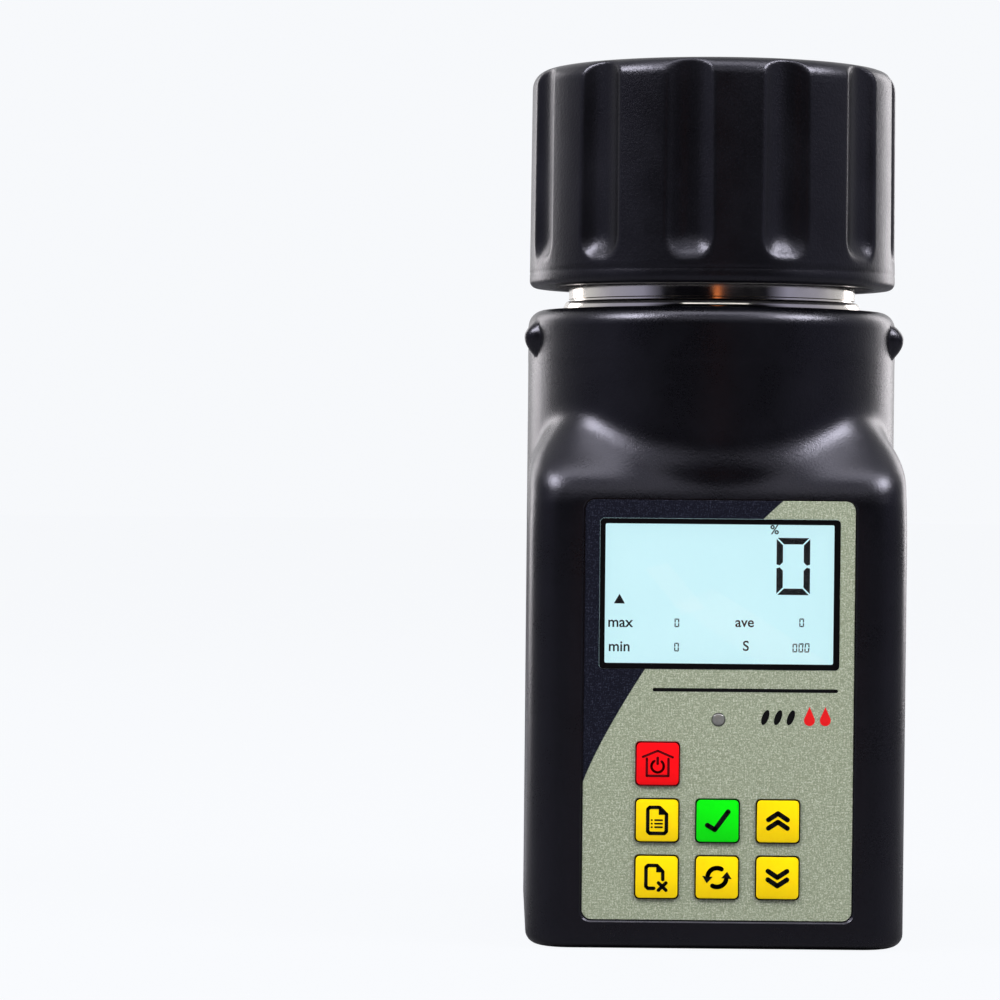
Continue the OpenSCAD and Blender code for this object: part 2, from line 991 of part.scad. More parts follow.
module pressure_plate() {
    color(metal_colour)
        difference() {
            union() {
                translate([0, 0, plate_z])
                    cylinder(h = 1, r1 = plate_r - 1, r2 = plate_r);
                translate([0, 0, plate_z + 1 - eps])
                    cylinder(h = plate_t - 1 + eps, r = plate_r);
                translate([0, 0, plate_z + plate_t - eps])
                    cylinder(h = hub_h + eps, r = hub_r);
            }
            translate([0, 0, stem_foot])
                cylinder(h = 20, r = stem_r);
            translate([0, 0, plate_z - 1])
                cylinder(h = 10, r = 2);
            translate([0, 0, plate_z - eps])
                cylinder(h = 1.6, r1 = 3.8, r2 = 2);
        }
}

module plunger_stem() {
    color(metal_colour)
        difference() {
            translate([0, 0, stem_foot])
                cylinder(h = stem_top - stem_foot, r = stem_r);
            ring(stem_r + 1, clip_in, clip_z, clip_t);
            translate([0, 0, stem_foot - 1])
                cylinder(h = 9, r = 2);
        }
}

module plate_screw() {
    color(steel_colour)
        difference() {
            union() {
                translate([0, 0, plate_z])
                    cylinder(h = 1.55, r1 = 3.7, r2 = 1.95);
                translate([0, 0, plate_z + 1.5])
                    cylinder(h = 7, r = 1.95);
            }
            translate([0, 0, plate_z])
                cube([5, 0.9, 1.2], center = true);
        }
}

module stem_clip() {
    color(steel_colour)
        difference() {
            ring(clip_out, clip_in, clip_z, clip_t);
            translate([0, -clip_in + 1, clip_z - 1])
                cube([clip_out + 1, 2 * clip_in - 2, clip_t + 2]);
        }
}

module pressure_indicator() {
    edge = 0.8;
    low = clip_z + clip_t;
    color("#c8322c")
        difference() {
            union() {
                translate([0, 0, low])
                    cylinder(h = button_top - low - edge, r = button_r);
                translate([0, 0, button_top - edge - eps])
                    cylinder(h = edge + eps, r1 = button_r, r2 = button_r - edge);
            }
            translate([0, 0, low - 1])
                cylinder(h = stem_top - low + 1.05, r = stem_r);
        }
}

front_shell();
rear_shell();
threaded_collar();
collar_seal();
collar_nut();
cup_sleeve();
cup_base();
cup_studs();
centre_electrode();
electrode_nut();
temperature_probe();
sensor_board();
signal_leads();
main_board();
board_screws();
lcd_panel();
lcd_backlight();
lcd_pins();
display_window();
label_overlay();
key_switches();
indicator_led();
buzzer();
battery_tray();
battery_1();
battery_2();
battery_3();
battery_4();
battery_contacts();
battery_leads();
housing_screws();
battery_door();
door_pad();
key_power();
key_record();
key_delete();
key_ok();
key_cycle();
key_up();
key_down();
cap_shell();
cap_insert();
seat_retainer();
retainer_screws();
spring_seat();
pressure_spring();
pressure_plate();
plunger_stem();
plate_screw();
stem_clip();
pressure_indicator();
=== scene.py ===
import math

import bmesh
import bpy
from mathutils import Matrix, Vector


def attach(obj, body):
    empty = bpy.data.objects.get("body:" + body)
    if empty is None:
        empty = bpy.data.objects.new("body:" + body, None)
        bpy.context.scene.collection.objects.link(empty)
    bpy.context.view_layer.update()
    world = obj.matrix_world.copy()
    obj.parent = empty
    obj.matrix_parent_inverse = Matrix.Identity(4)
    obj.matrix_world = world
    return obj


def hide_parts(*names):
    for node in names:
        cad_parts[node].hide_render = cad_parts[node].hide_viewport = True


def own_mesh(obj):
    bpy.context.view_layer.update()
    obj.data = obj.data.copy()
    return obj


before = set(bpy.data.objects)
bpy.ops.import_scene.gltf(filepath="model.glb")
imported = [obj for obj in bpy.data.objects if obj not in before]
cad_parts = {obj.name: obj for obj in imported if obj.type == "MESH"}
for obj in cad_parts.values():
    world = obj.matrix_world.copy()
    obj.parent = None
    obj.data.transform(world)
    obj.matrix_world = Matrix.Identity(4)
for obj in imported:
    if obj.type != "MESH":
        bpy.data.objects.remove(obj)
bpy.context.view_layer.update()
mm = 0.001
print("frame loaded:", len(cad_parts), "nodes")


# ---- numbers and shader maths

class Field:
    def __init__(self, shader, socket):
        self.shader = shader
        self.socket = socket

    def maths(self, operation, *inputs):
        return self.shader.node("ShaderNodeMath", {"operation": operation}, dict(enumerate(inputs)))

    def __add__(self, other):
        return self.maths("ADD", self, other)

    def __radd__(self, other):
        return self.maths("ADD", other, self)

    def __sub__(self, other):
        return self.maths("SUBTRACT", self, other)

    def __rsub__(self, other):
        return self.maths("SUBTRACT", other, self)

    def __mul__(self, other):
        return self.maths("MULTIPLY", self, other)

    def __rmul__(self, other):
        return self.maths("MULTIPLY", other, self)

    def __truediv__(self, other):
        return self.maths("DIVIDE", self, other)

    def __pow__(self, other):
        return self.maths("POWER", self, other)

    def above(self, edge, width):
        return self.shader.node("ShaderNodeMapRange", {"interpolation_type": "SMOOTHSTEP"},
                                {"Value": self, "From Min": edge - width / 2, "From Max": edge + width / 2})


class Shader:
    def __init__(self, name, **constants):
        self.material = bpy.data.materials.new(name)
        self.material.use_nodes = True
        self.tree = self.material.node_tree
        self.tree.nodes.clear()
        self.output = self.tree.nodes.new("ShaderNodeOutputMaterial")
        self.surface = self.tree.nodes.new("ShaderNodeBsdfPrincipled")
        self.tree.links.new(self.surface.outputs["BSDF"], self.output.inputs["Surface"])
        for socket, value in constants.items():
            self.surface.inputs[socket.replace("_", " ")].default_value = value

    # any node: its type, its settings, and the values or links of its sockets
    def node(self, kind, settings, values, output=0):
        made = self.tree.nodes.new(kind)
        for key, value in settings.items():
            if key == "stops":
                ramp = made.color_ramp
                while len(ramp.elements) < len(value):
                    ramp.elements.new(0.5)
                for element, (place, colour) in zip(ramp.elements, value):
                    element.position = place
                    element.color = colour
            else:
                setattr(made, key, value)
        for key, value in values.items():
            socket = made.inputs[key]
            if isinstance(value, Field):
                self.tree.links.new(value.socket, socket)
            else:
                socket.default_value = value
        return Field(self, made.outputs[output])

    def objectPlace(self):
        return self.node("ShaderNodeTexCoord", {}, {}, "Object")

    def axis(self, index):
        return self.node("ShaderNodeSeparateXYZ", {}, {0: self.objectPlace()}, index)

    def noise(self, size, detail=2.0, roughness=0.5, stretch=(1, 1, 1)):
        place = self.node("ShaderNodeMapping", {}, {"Vector": self.objectPlace(), "Scale": stretch})
        return self.node("ShaderNodeTexNoise", {"noise_dimensions": "3D"},
                         {"Vector": place, "Scale": 1 / size, "Detail": detail, "Roughness": roughness},
                         "Fac")

    def cells(self, size, feature="F1", output="Distance"):
        return self.node("ShaderNodeTexVoronoi", {"feature": feature},
                         {"Vector": self.objectPlace(), "Scale": 1 / size}, output)

    def blend(self, factor, first, second):
        made = self.tree.nodes.new("ShaderNodeMix")
        made.data_type = "RGBA"
        for socket, value in zip((made.inputs[0], made.inputs[6], made.inputs[7]), (factor, first, second)):
            if isinstance(value, Field):
                self.tree.links.new(value.socket, socket)
            else:
                socket.default_value = value
        return Field(self, made.outputs[2])

    def feed(self, socket, value):
        self.tree.links.new(value.socket, self.surface.inputs[socket])
        return self

    def bump(self, height, distance, strength=1.0, under=None):
        values = {"Height": height, "Distance": distance, "Strength": strength}
        if under is not None:
            values["Normal"] = under
        return self.node("ShaderNodeBump", {}, values)


def rgb(red, green, blue):
    return (red, green, blue, 1.0)


# ---- materials

plasticLook = {"colour": rgb(0.0006, 0.0006, 0.0012), "paler": rgb(0.0022, 0.0023, 0.0040)}


def mouldedPlastic(name, grain, depth, roughness, colour=None, paler=None, worn=0.06):
    made = Shader(name, Metallic=0.0, IOR=1.47, Specular_IOR_Level=0.40, Specular_Tint=rgb(0.84, 0.82, 1.0))
    fine = made.noise(grain, 3.0, 0.6)
    broad = made.noise(14 * mm, 3.0)
    speck = made.cells(grain * 2.6).above(0.16, 0.10)
    tone = made.blend(1 - speck, colour or plasticLook["colour"], paler or plasticLook["paler"])
    tone = made.blend(broad.above(0.55, 0.3) * 0.35, tone, paler or plasticLook["paler"])
    made.feed("Base Color", tone)
    made.feed("Roughness", roughness + worn * (broad - 0.5) * 2 + 0.10 * (fine - 0.5))
    low = made.bump(made.noise(9 * mm, 1.0), 0.03 * mm, 0.6)
    made.feed("Normal", made.bump(fine + 0.5 * made.cells(grain * 2.0), depth, 0.9, low))
    return made.material


def turnedMetal(name, colour, roughness, ring=0.16 * mm, depth=0.0014 * mm):
    made = Shader(name, Metallic=1.0)
    x, y, z = made.axis(0), made.axis(1), made.axis(2)
    radius = (x * x + y * y) ** 0.5
    around = made.node("ShaderNodeCombineXYZ", {}, {0: radius, 1: z})
    lines = made.node("ShaderNodeTexNoise", {"noise_dimensions": "2D"},
                      {"Vector": around, "Scale": 1 / ring, "Detail": 2.0}, "Fac")
    smudge = made.noise(11 * mm, 3.0, 0.6)
    dull = rgb(*(0.86 * c for c in colour[:3]))
    made.feed("Base Color", made.blend(smudge.above(0.5, 0.5) * 0.5, colour, dull))
    made.feed("Roughness", roughness + 0.09 * smudge.above(0.52, 0.3) + 0.04 * lines)
    made.feed("Normal", made.bump(lines, depth, 0.7))
    return made.material


def platedSteel(name, colour, roughness):
    made = Shader(name, Metallic=1.0)
    blotch = made.cells(0.9 * mm, "F1", "Distance")
    scratch = made.noise(0.25 * mm, 2.0, 0.5, (1, 1, 0.1))
    made.feed("Base Color", made.blend(blotch * 0.6, colour, rgb(*(0.7 * c for c in colour[:3]))))
    made.feed("Roughness", roughness + 0.16 * scratch)
    made.feed("Normal", made.bump(scratch, 0.004 * mm, 0.6))
    return made.material


labelLook = {
    "sage": rgb(0.37, 0.405, 0.300), "sageSpeck": rgb(0.62, 0.64, 0.52), "sageDeep": rgb(0.225, 0.262, 0.175),
    "navy": rgb(0.0042, 0.0050, 0.0110), "navySpeck": rgb(0.030, 0.033, 0.054),
    "centre": (16.8, 36.6), "reach": (47.8, 67.3), "roundness": 1.183, "grain": 0.36 * mm,
}


def labelMaterial():
    look = labelLook
    made = Shader("labelFilm", IOR=1.5, Specular_IOR_Level=0.12)
    x, z = made.axis(0) / mm, made.axis(2) / mm
    (centreX, centreZ), (reachX, reachZ) = look["centre"], look["reach"]
    left = made.node("ShaderNodeClamp", {}, {0: (centreX - x) / reachX, 1: 0.0001, 2: 2.0})
    high = made.node("ShaderNodeClamp", {}, {0: (z - centreZ) / reachZ, 1: 0.0001, 2: 2.0})
    outside = left ** look["roundness"] + high ** look["roundness"]
    dark = outside.above(1.0, 0.005)
    fine = made.noise(look["grain"], 2.0, 0.75)
    warp = made.noise(look["grain"], 1.0, 0.5, (0.25, 1, 1))
    weft = made.noise(look["grain"], 1.0, 0.5, (1, 1, 0.25))
    weave = warp * 0.5 + weft * 0.5
    grain = fine * 0.6 + weave * 0.4
    light = made.blend(grain.above(0.50, 0.24), look["sageDeep"], look["sage"])
    light = made.blend(grain.above(0.60, 0.22), light, look["sageSpeck"])
    ink = made.blend(grain.above(0.57, 0.16), look["navy"], look["navySpeck"])
    made.feed("Base Color", made.blend(dark, light, ink))
    made.feed("Roughness", 0.36 + 0.12 * fine)
    made.feed("Normal", made.bump(grain, 0.012 * mm, 0.6))
    return made.material


def keyPaint(name, colour, edge):
    made = Shader(name, IOR=1.5, Specular_IOR_Level=0.16)
    tint = made.noise(1.2 * mm, 3.0, 0.6)
    made.feed("Base Color", made.blend(tint.above(0.6, 0.4) * 0.5, colour, edge))
    made.feed("Roughness", 0.34 + 0.12 * made.noise(0.5 * mm))
    made.feed("Normal", made.bump(made.noise(0.22 * mm, 3.0), 0.004 * mm, 0.6))
    return made.material


def screenGlow():
    made = Shader("screenGlow", Roughness=0.3, Emission_Strength=0.96)
    cloud = made.noise(18 * mm, 1.0)
    made.feed("Base Color", made.blend(cloud, rgb(0.10, 0.13, 0.14), rgb(0.12, 0.15, 0.16)))
    made.feed("Emission Color", made.blend(cloud, rgb(0.59, 0.905, 0.965), rgb(0.62, 0.925, 0.98)))
    return made.material


def inkMaterial(name, colour, roughness=0.5):
    made = Shader(name, IOR=1.45, Specular_IOR_Level=0.14)
    spot = made.noise(0.25 * mm, 3.0, 0.7)
    made.feed("Base Color", made.blend(spot, colour, rgb(*(min(1.0, c * 1.35 + 0.0006) for c in colour[:3]))))
    made.feed("Roughness", roughness + 0.12 * (spot - 0.5))
    return made.material


def clearWindow():
    made = Shader("clearWindow", Roughness=0.03, IOR=1.49, Transmission_Weight=1.0)
    haze = made.noise(22 * mm, 2.0)
    made.feed("Base Color", made.blend(haze, rgb(0.97, 0.99, 0.99), rgb(1.0, 1.0, 1.0)))
    made.feed("Normal", made.bump(haze, 0.002 * mm, 0.3))
    return made.material


def smokedLens():
    made = Shader("smokedLens", Roughness=0.18, IOR=1.5, Coat_Weight=0.6)
    cloud = made.noise(0.9 * mm, 2.0)
    made.feed("Base Color", made.blend(cloud, rgb(0.115, 0.115, 0.11), rgb(0.20, 0.20, 0.19)))
    return made.material


def circuitBoard():
    made = Shader("circuitBoard", IOR=1.5)
    x, z = made.axis(0), made.axis(2)
    mesh = made.node("ShaderNodeTexBrick", {"offset": 0.37, "squash": 1.0}, {
        "Vector": made.node("ShaderNodeCombineXYZ", {}, {0: x + made.axis(1), 1: z + made.axis(1) * 0.5}),
        "Scale": 1 / (8 * mm), "Mortar Size": 0.035, "Color1": rgb(0.008, 0.075, 0.022),
        "Color2": rgb(0.012, 0.095, 0.03), "Mortar": rgb(0.035, 0.20, 0.06)}, "Color")
    pads = made.cells(2.1 * mm).above(0.18, 0.06)
    made.feed("Base Color", made.blend(pads, rgb(0.55, 0.52, 0.42), mesh))
    made.feed("Roughness", 0.28 + 0.15 * made.noise(1 * mm))
    made.feed("Metallic", 0.8 * (1 - pads))
    return made.material


def cellWrap(foot, height):
    made = Shader("cellWrap", IOR=1.5, Coat_Weight=0.5, Coat_Roughness=0.15)
    z = (made.axis(2) - foot) / height
    band = z.above(0.72, 0.01)
    base = made.blend(made.noise(2 * mm), rgb(0.020, 0.022, 0.026), rgb(0.030, 0.032, 0.038))
    made.feed("Base Color", made.blend(band, base, rgb(0.55, 0.20, 0.045)))
    made.feed("Roughness", 0.25 + 0.15 * made.noise(4 * mm))
    return made.material


def wireCoat(name, red, pale, across):
    made = Shader(name, Coat_Weight=0.3)
    side = made.axis(0).above(across, 0.2 * mm)
    made.feed("Base Color", made.blend(side, red, pale))
    made.feed("Roughness", 0.35 + 0.1 * made.noise(2 * mm))
    return made.material


def foamMaterial():
    made = Shader("closedFoam", Roughness=0.9)
    pore = made.cells(0.6 * mm)
    made.feed("Base Color", made.blend(pore, rgb(0.012, 0.012, 0.013), rgb(0.045, 0.045, 0.05)))
    made.feed("Normal", made.bump(pore, 0.12 * mm, 0.8))
    return made.material


casePlastic = mouldedPlastic("casePlastic", 0.34 * mm, 0.036 * mm, 0.29)
capPlastic = mouldedPlastic("capPlastic", 0.40 * mm, 0.048 * mm, 0.31, None, rgb(0.0034, 0.0035, 0.0056))
innerPlastic = mouldedPlastic("innerPlastic", 0.35 * mm, 0.012 * mm, 0.5)
collarMetal = turnedMetal("collarMetal", rgb(0.86, 0.82, 0.76), 0.07, 0.5 * mm, 0.0006 * mm)
cupMetal = turnedMetal("cupMetal", rgb(0.74, 0.735, 0.72), 0.22, 0.3 * mm, 0.004 * mm)
zincSteel = platedSteel("zincSteel", rgb(0.56, 0.57, 0.58), 0.26)
springSteel = platedSteel("springSteel", rgb(0.50, 0.51, 0.53), 0.2)
contactMetal = platedSteel("contactMetal", rgb(0.72, 0.60, 0.34), 0.24)
labelFilm = labelMaterial()
keyRed = keyPaint("keyRed", rgb(1.0, 0.002, 0.006), rgb(0.92, 0.002, 0.006))
keyYellow = keyPaint("keyYellow", rgb(1.0, 0.70, 0.001), rgb(0.97, 0.64, 0.001))
keyGreen = keyPaint("keyGreen", rgb(0.001, 0.80, 0.003), rgb(0.001, 0.74, 0.003))
indicatorRed = keyPaint("indicatorRed", rgb(0.50, 0.02, 0.012), rgb(0.42, 0.016, 0.01))
printBlack = inkMaterial("printBlack", rgb(0.0015, 0.0015, 0.002), 0.45)
printMaroon = inkMaterial("printMaroon", rgb(0.075, 0.001, 0.003), 0.4)
printRed = inkMaterial("printRed", rgb(0.62, 0.01, 0.012), 0.45)
segmentBlack = inkMaterial("segmentBlack", rgb(0.001, 0.001, 0.0015), 0.6)
frameBlack = inkMaterial("frameBlack", rgb(0.0008, 0.0008, 0.0012), 0.3)
windowClear = clearWindow()
lensGrey = smokedLens()
screenLit = screenGlow()
boardGreen = circuitBoard()
lightGuide = inkMaterial("lightGuide", rgb(0.75, 0.77, 0.75), 0.5)
rubberBlack = mouldedPlastic("rubberBlack", 0.4 * mm, 0.02 * mm, 0.7)
componentBlack = mouldedPlastic("componentBlack", 0.15 * mm, 0.01 * mm, 0.55)
foam = foamMaterial()
print("materials made")


# ---- mesh helpers

def finishMesh(name, bm, material, body, replaces=(), smooth=True, sharp=34):
    mesh = bpy.data.meshes.new(name)
    bm.to_mesh(mesh)
    bm.free()
    piece = bpy.data.objects.new(name, mesh)
    bpy.context.collection.objects.link(piece)
    mesh.materials.append(material)
    if smooth:
        mesh.shade_smooth()
        mesh.set_sharp_from_angle(angle=math.radians(sharp))
    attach(piece, body)
    if replaces:
        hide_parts(*replaces)
    return piece


# extrudes a first ring up through the levels; place(angle, level) gives each vertex its point
def loft(bm, angles, levels, place, closed=False):
    start = bmesh.ops.create_circle(bm, segments=len(angles), radius=1.0)["verts"]
    start.sort(key=lambda v: (math.atan2(v.co.y, v.co.x) + 1e-4) % (2 * math.pi))
    rows = [start]
    for _ in levels[1:]:
        ring = set(rows[-1])
        edges = [e for v in rows[-1] for e in v.link_edges if e.other_vert(v) in ring]
        made = bmesh.ops.extrude_edge_only(bm, edges=list(dict.fromkeys(edges)))["geom"]
        fresh = [v for v in made if isinstance(v, bmesh.types.BMVert)]
        near = {(round(v.co.x, 6), round(v.co.y, 6)): v for v in fresh}
        rows.append([near[(round(v.co.x, 6), round(v.co.y, 6))] for v in rows[0]])
    for row, level in zip(rows, levels):
        for vert, angle in zip(row, angles):
            vert.co = place(angle, level)
    if closed:
        edges = [e for row in (rows[0], rows[-1]) for v in row for e in v.link_edges if e.is_boundary]
        bmesh.ops.bridge_loops(bm, edges=list(dict.fromkeys(edges)))
    return rows


# turns a profile of (radius, height) points about Z into a closed solid
def lathe(bm, profile, steps=128):
    verts = [bm.verts.new((r, 0, z)) for r, z in profile]
    edges = [bm.edges.new((a, b)) for a, b in zip(verts, verts[1:] + verts[:1])]
    bmesh.ops.spin(bm, geom=verts + edges, cent=(0, 0, 0), axis=(0, 0, 1), angle=2 * math.pi,
                   steps=steps, use_merge=True)
    bmesh.ops.remove_doubles(bm, verts=bm.verts, dist=1e-7)
    bmesh.ops.recalc_face_normals(bm, faces=bm.faces)


def evenAngles(count):
    return [2 * math.pi * i / count for i in range(count)]


def arc(centre, radius, first, last, count):
    return [(centre[0] + radius * math.cos(math.radians(first + (last - first) * i / count)),
             centre[1] + radius * math.sin(math.radians(first + (last - first) * i / count)))
            for i in range(count + 1)]


def roundedOutline(wide, high, radius, count=6, at=(0, 0)):
    points = []
    for sx, sz, first in ((1, 1, 0), (-1, 1, 90), (-1, -1, 180), (1, -1, 270)):
        corner = (at[0] + sx * (wide / 2 - radius), at[1] + sz * (high / 2 - radius))
        points += arc(corner, radius, first, first + 90, count)
    return points


# a plate that stands in XZ from depth near to depth far, with its near edge bevelled
def plate(bm, outline, near, far, bevel=0.0, segments=2):
    verts = [bm.verts.new((x, near, z)) for x, z in outline]
    face = bm.faces.new(verts)
    made = bmesh.ops.extrude_face_region(bm, geom=[face])["geom"]
    back = [v for v in made if isinstance(v, bmesh.types.BMVert)]
    bmesh.ops.translate(bm, verts=back, vec=(0, far - near, 0))
    if bevel:
        rim = [e for e in face.edges] if face.is_valid else []
        rim = rim or [e for e in bm.edges if all(v in verts for v in e.verts)]
        bmesh.ops.bevel(bm, geom=rim, offset=bevel, segments=segments, profile=0.5, affect="EDGES",
                        material=-1)
    bmesh.ops.recalc_face_normals(bm, faces=bm.faces)


# flat line work of a given width: bars with round joints
def stroke(bm, points, width, near, far, closed=False):
    run = points + points[:1] if closed else points
    for a, b in zip(run, run[1:]):
        along = Vector((b[0] - a[0], 0, b[1] - a[1]))
        if along.length < 1e-9:
            continue
        side = Vector((-along.z, 0, along.x)).normalized() * width / 2
        ends = [Vector((a[0], near, a[1])), Vector((b[0], near, b[1]))]
        corners = [ends[0] + side, ends[1] + side, ends[1] - side, ends[0] - side]
        extrudePlate(bm, corners, far - near)
    for x, z in points:
        dot = [(x + width / 2 * math.cos(a * math.pi / 8), near, z + width / 2 * math.sin(a * math.pi / 8))
               for a in range(16)]
        extrudePlate(bm, dot, far - near)


def extrudePlate(bm, corners, depth):
    face = bm.faces.new([bm.verts.new(c) for c in corners])
    made = bmesh.ops.extrude_face_region(bm, geom=[face])["geom"]
    verts = [v for v in made if isinstance(v, bmesh.types.BMVert)]
    bmesh.ops.translate(bm, verts=verts, vec=(0, depth, 0))


def cutWith(piece, cutters, operation="DIFFERENCE"):
    for cutter in cutters:
        step = piece.modifiers.new("cut", "BOOLEAN")
        step.object = cutter
        step.operation = operation
        step.solver = "EXACT"
    bpy.context.view_layer.update()
    graph = bpy.context.evaluated_depsgraph_get()
    mesh = bpy.data.meshes.new_from_object(piece.evaluated_get(graph))
    piece.modifiers.clear()
    piece.data = mesh
    for cutter in cutters:
        bpy.data.objects.remove(cutter)


def looseObject(name, bm):
    bmesh.ops.recalc_face_normals(bm, faces=bm.faces)
    mesh = bpy.data.meshes.new(name)
    bm.to_mesh(mesh)
    bm.free()
    made = bpy.data.objects.new(name, mesh)
    bpy.context.collection.objects.link(made)
    return made


def rodAlongY(bm, x, z, radius, near, far, count=32):
    made = bmesh.ops.create_cone(bm, cap_ends=True, segments=count, radius1=radius, radius2=radius,
                                 depth=far - near)["verts"]
    bmesh.ops.rotate(bm, verts=made, cent=(0, 0, 0), matrix=Matrix.Rotation(math.radians(-90), 3, "X"))
    bmesh.ops.translate(bm, verts=made, vec=(x, (near + far) / 2, z))
    return made


# ---- camera, light and stage

studio = {
    "camera": (-0.0500, -0.880, 0.1176), "pitchDown": 1.09, "roll": 0.55, "lens": 132.7,
    "worldTone": rgb(0.93, 0.945, 0.97), "floorGlow": 0.988, "floorMatt": rgb(0.16, 0.16, 0.17),
    "surround": [(0.120, rgb(0.001, 0.001, 0.002)), (0.250, rgb(0.27, 0.27, 0.37)),
                 (0.50, rgb(0.34, 0.34, 0.42)), (0.74, rgb(0.60, 0.60, 0.62)), (0.96, rgb(0.80, 0.80, 0.82))],
}


def addCamera():
    data = bpy.data.cameras.new("studioCamera")
    data.lens = studio["lens"]
    data.sensor_width = 36
    data.clip_start = 0.01
    camera = bpy.data.objects.new("studioCamera", data)
    bpy.context.collection.objects.link(camera)
    tilt = Matrix.Rotation(math.radians(90 - studio["pitchDown"]), 4, "X")
    roll = Matrix.Rotation(math.radians(studio["roll"]), 4, "Z")
    camera.matrix_world = Matrix.Translation(studio["camera"]) @ tilt @ roll
    bpy.context.scene.camera = camera


def softLight(name, place, target, size, power, tone=(1, 1, 1)):
    data = bpy.data.lights.new(name, "AREA")
    data.shape = "RECTANGLE"
    data.size, data.size_y = size
    data.energy = power
    data.color = tone
    lamp = bpy.data.objects.new(name, data)
    bpy.context.collection.objects.link(lamp)
    lamp.location = place
    lamp.rotation_euler = (Vector(target) - Vector(place)).to_track_quat("-Z", "Y").to_euler()


def addStage():
    bm = bmesh.new()
    bmesh.ops.create_circle(bm, cap_ends=True, segments=96, radius=4.0)
    floor = looseObject("floor", bm)
    floor.location.z = -0.0002
    paper = Shader("floorPaper", Roughness=0.9, Emission_Strength=studio["floorGlow"])
    paper.surface.inputs["Specular IOR Level"].default_value = 0.0
    paper.surface.inputs["Emission Color"].default_value = studio["worldTone"]
    shade = paper.blend(paper.noise(0.4), rgb(0.012, 0.012, 0.0125), rgb(0.010, 0.010, 0.0105))
    paper.feed("Base Color", shade)
    matt = paper.tree.nodes.new("ShaderNodeBsdfDiffuse")
    matt.inputs["Color"].default_value = studio["floorMatt"]
    seenDirect = paper.node("ShaderNodeLightPath", {}, {}, "Is Camera Ray")
    either = paper.tree.nodes.new("ShaderNodeMixShader")
    paper.tree.links.new(seenDirect.socket, either.inputs["Fac"])
    paper.tree.links.new(matt.outputs[0], either.inputs[1])
    paper.tree.links.new(paper.surface.outputs[0], either.inputs[2])
    paper.tree.links.new(either.outputs[0], paper.output.inputs["Surface"])
    floor.data.materials.append(paper.material)
    world = bpy.data.worlds.new("studioWorld")
    bpy.context.scene.world = world
    world.use_nodes = True
    tree = world.node_tree
    tree.nodes.clear()
    out = tree.nodes.new("ShaderNodeOutputWorld")
    seen = tree.nodes.new("ShaderNodeBackground")
    seen.inputs["Color"].default_value = studio["worldTone"]
    seen.inputs["Strength"].default_value = 1.0
    lit = tree.nodes.new("ShaderNodeBackground")
    lit.inputs["Strength"].default_value = 1.0
    ramp = tree.nodes.new("ShaderNodeValToRGB")
    place = tree.nodes.new("ShaderNodeTexCoord")
    parts = tree.nodes.new("ShaderNodeSeparateXYZ")
    tree.links.new(place.outputs["Generated"], parts.inputs[0])
    span = tree.nodes.new("ShaderNodeMapRange")
    span.inputs["From Min"].default_value = -1.0
    tree.links.new(parts.outputs["Y"], span.inputs["Value"])
    tree.links.new(span.outputs[0], ramp.inputs["Fac"])
    stops = studio["surround"]
    while len(ramp.color_ramp.elements) < len(stops):
        ramp.color_ramp.elements.new(0.5)
    for element, (spot, tone) in zip(ramp.color_ramp.elements, stops):
        element.position, element.color = spot, tone
    tree.links.new(ramp.outputs["Color"], lit.inputs["Color"])
    path = tree.nodes.new("ShaderNodeLightPath")
    mix = tree.nodes.new("ShaderNodeMixShader")
    tree.links.new(path.outputs["Is Camera Ray"], mix.inputs["Fac"])
    tree.links.new(lit.outputs[0], mix.inputs[1])
    tree.links.new(seen.outputs[0], mix.inputs[2])
    tree.links.new(mix.outputs[0], out.inputs["Surface"])


addCamera()
addStage()
middle = (0, 0, 0.11)
softLight("leftBox", (-0.78, -0.36, 0.95), middle, (0.42, 0.42), 18.5)
softLight("rightBox", (0.78, -0.36, 0.95), middle, (0.42, 0.42), 18.5)
softLight("topBox", (0.0, -0.28, 1.25), middle, (1.1, 0.5), 9.0)
softLight("shoulderBox", (0.0, -0.92, 0.85), middle, (1.0, 0.45), 2.0)
softLight("leftBack", (-0.70, 0.83, 0.22), middle, (0.40, 0.95), 4.2, (1.0, 0.96, 0.97))
softLight("rightBack", (0.70, 0.83, 0.22), middle, (0.40, 0.95), 4.2, (1.0, 0.96, 0.97))
softLight("warmCard", (0.030, -1.30, 0.13), middle, (0.110, 0.30), 0.075, (1.0, 0.28, 0.08))
bpy.context.scene.view_settings.view_transform = "Standard"
print("stage made")


# ---- case

caseSize = {
    "halfWide": 43.3, "halfDeep": 46.0, "corner": 10.0, "foot": 3.0, "faceTop": 106.0, "slope": 41.0,
    "edge": 12.0, "topCorner": 16.0, "blockTop": 122.0, "neck": 43.6, "neckTop": 146.2, "neckEdge": 4.0,
    "hole": 33.6, "wall": 2.4, "segments": 288, "splitGap": 0.07, "tongue": 1.2, "tongueTop": 124.0,
    "blendFrom": 103.5, "blendTo": 134.0, "blendTimes": 14, "blendFeather": 8.5,
    "crease": 9.0, "creaseFrom": 0.30, "creaseTo": 0.66, "creaseFoot": 103.0, "creaseFull": 112.0,
    "lugTurn": 74, "lugZ": 139.6, "lugHigh": 2.7, "lugHalf": 3.5, "lugUp": 3.7, "lugDown": 4.9,
}


def softMin(a, b, width):
    h = max(width - abs(a - b), 0.0) / width
    return min(a, b) - h * h * width / 4


def easeIn(value, low, high):
    share = max(0.0, min(1.0, (value - low) / (high - low)))
    return share * share * (3 - 2 * share)


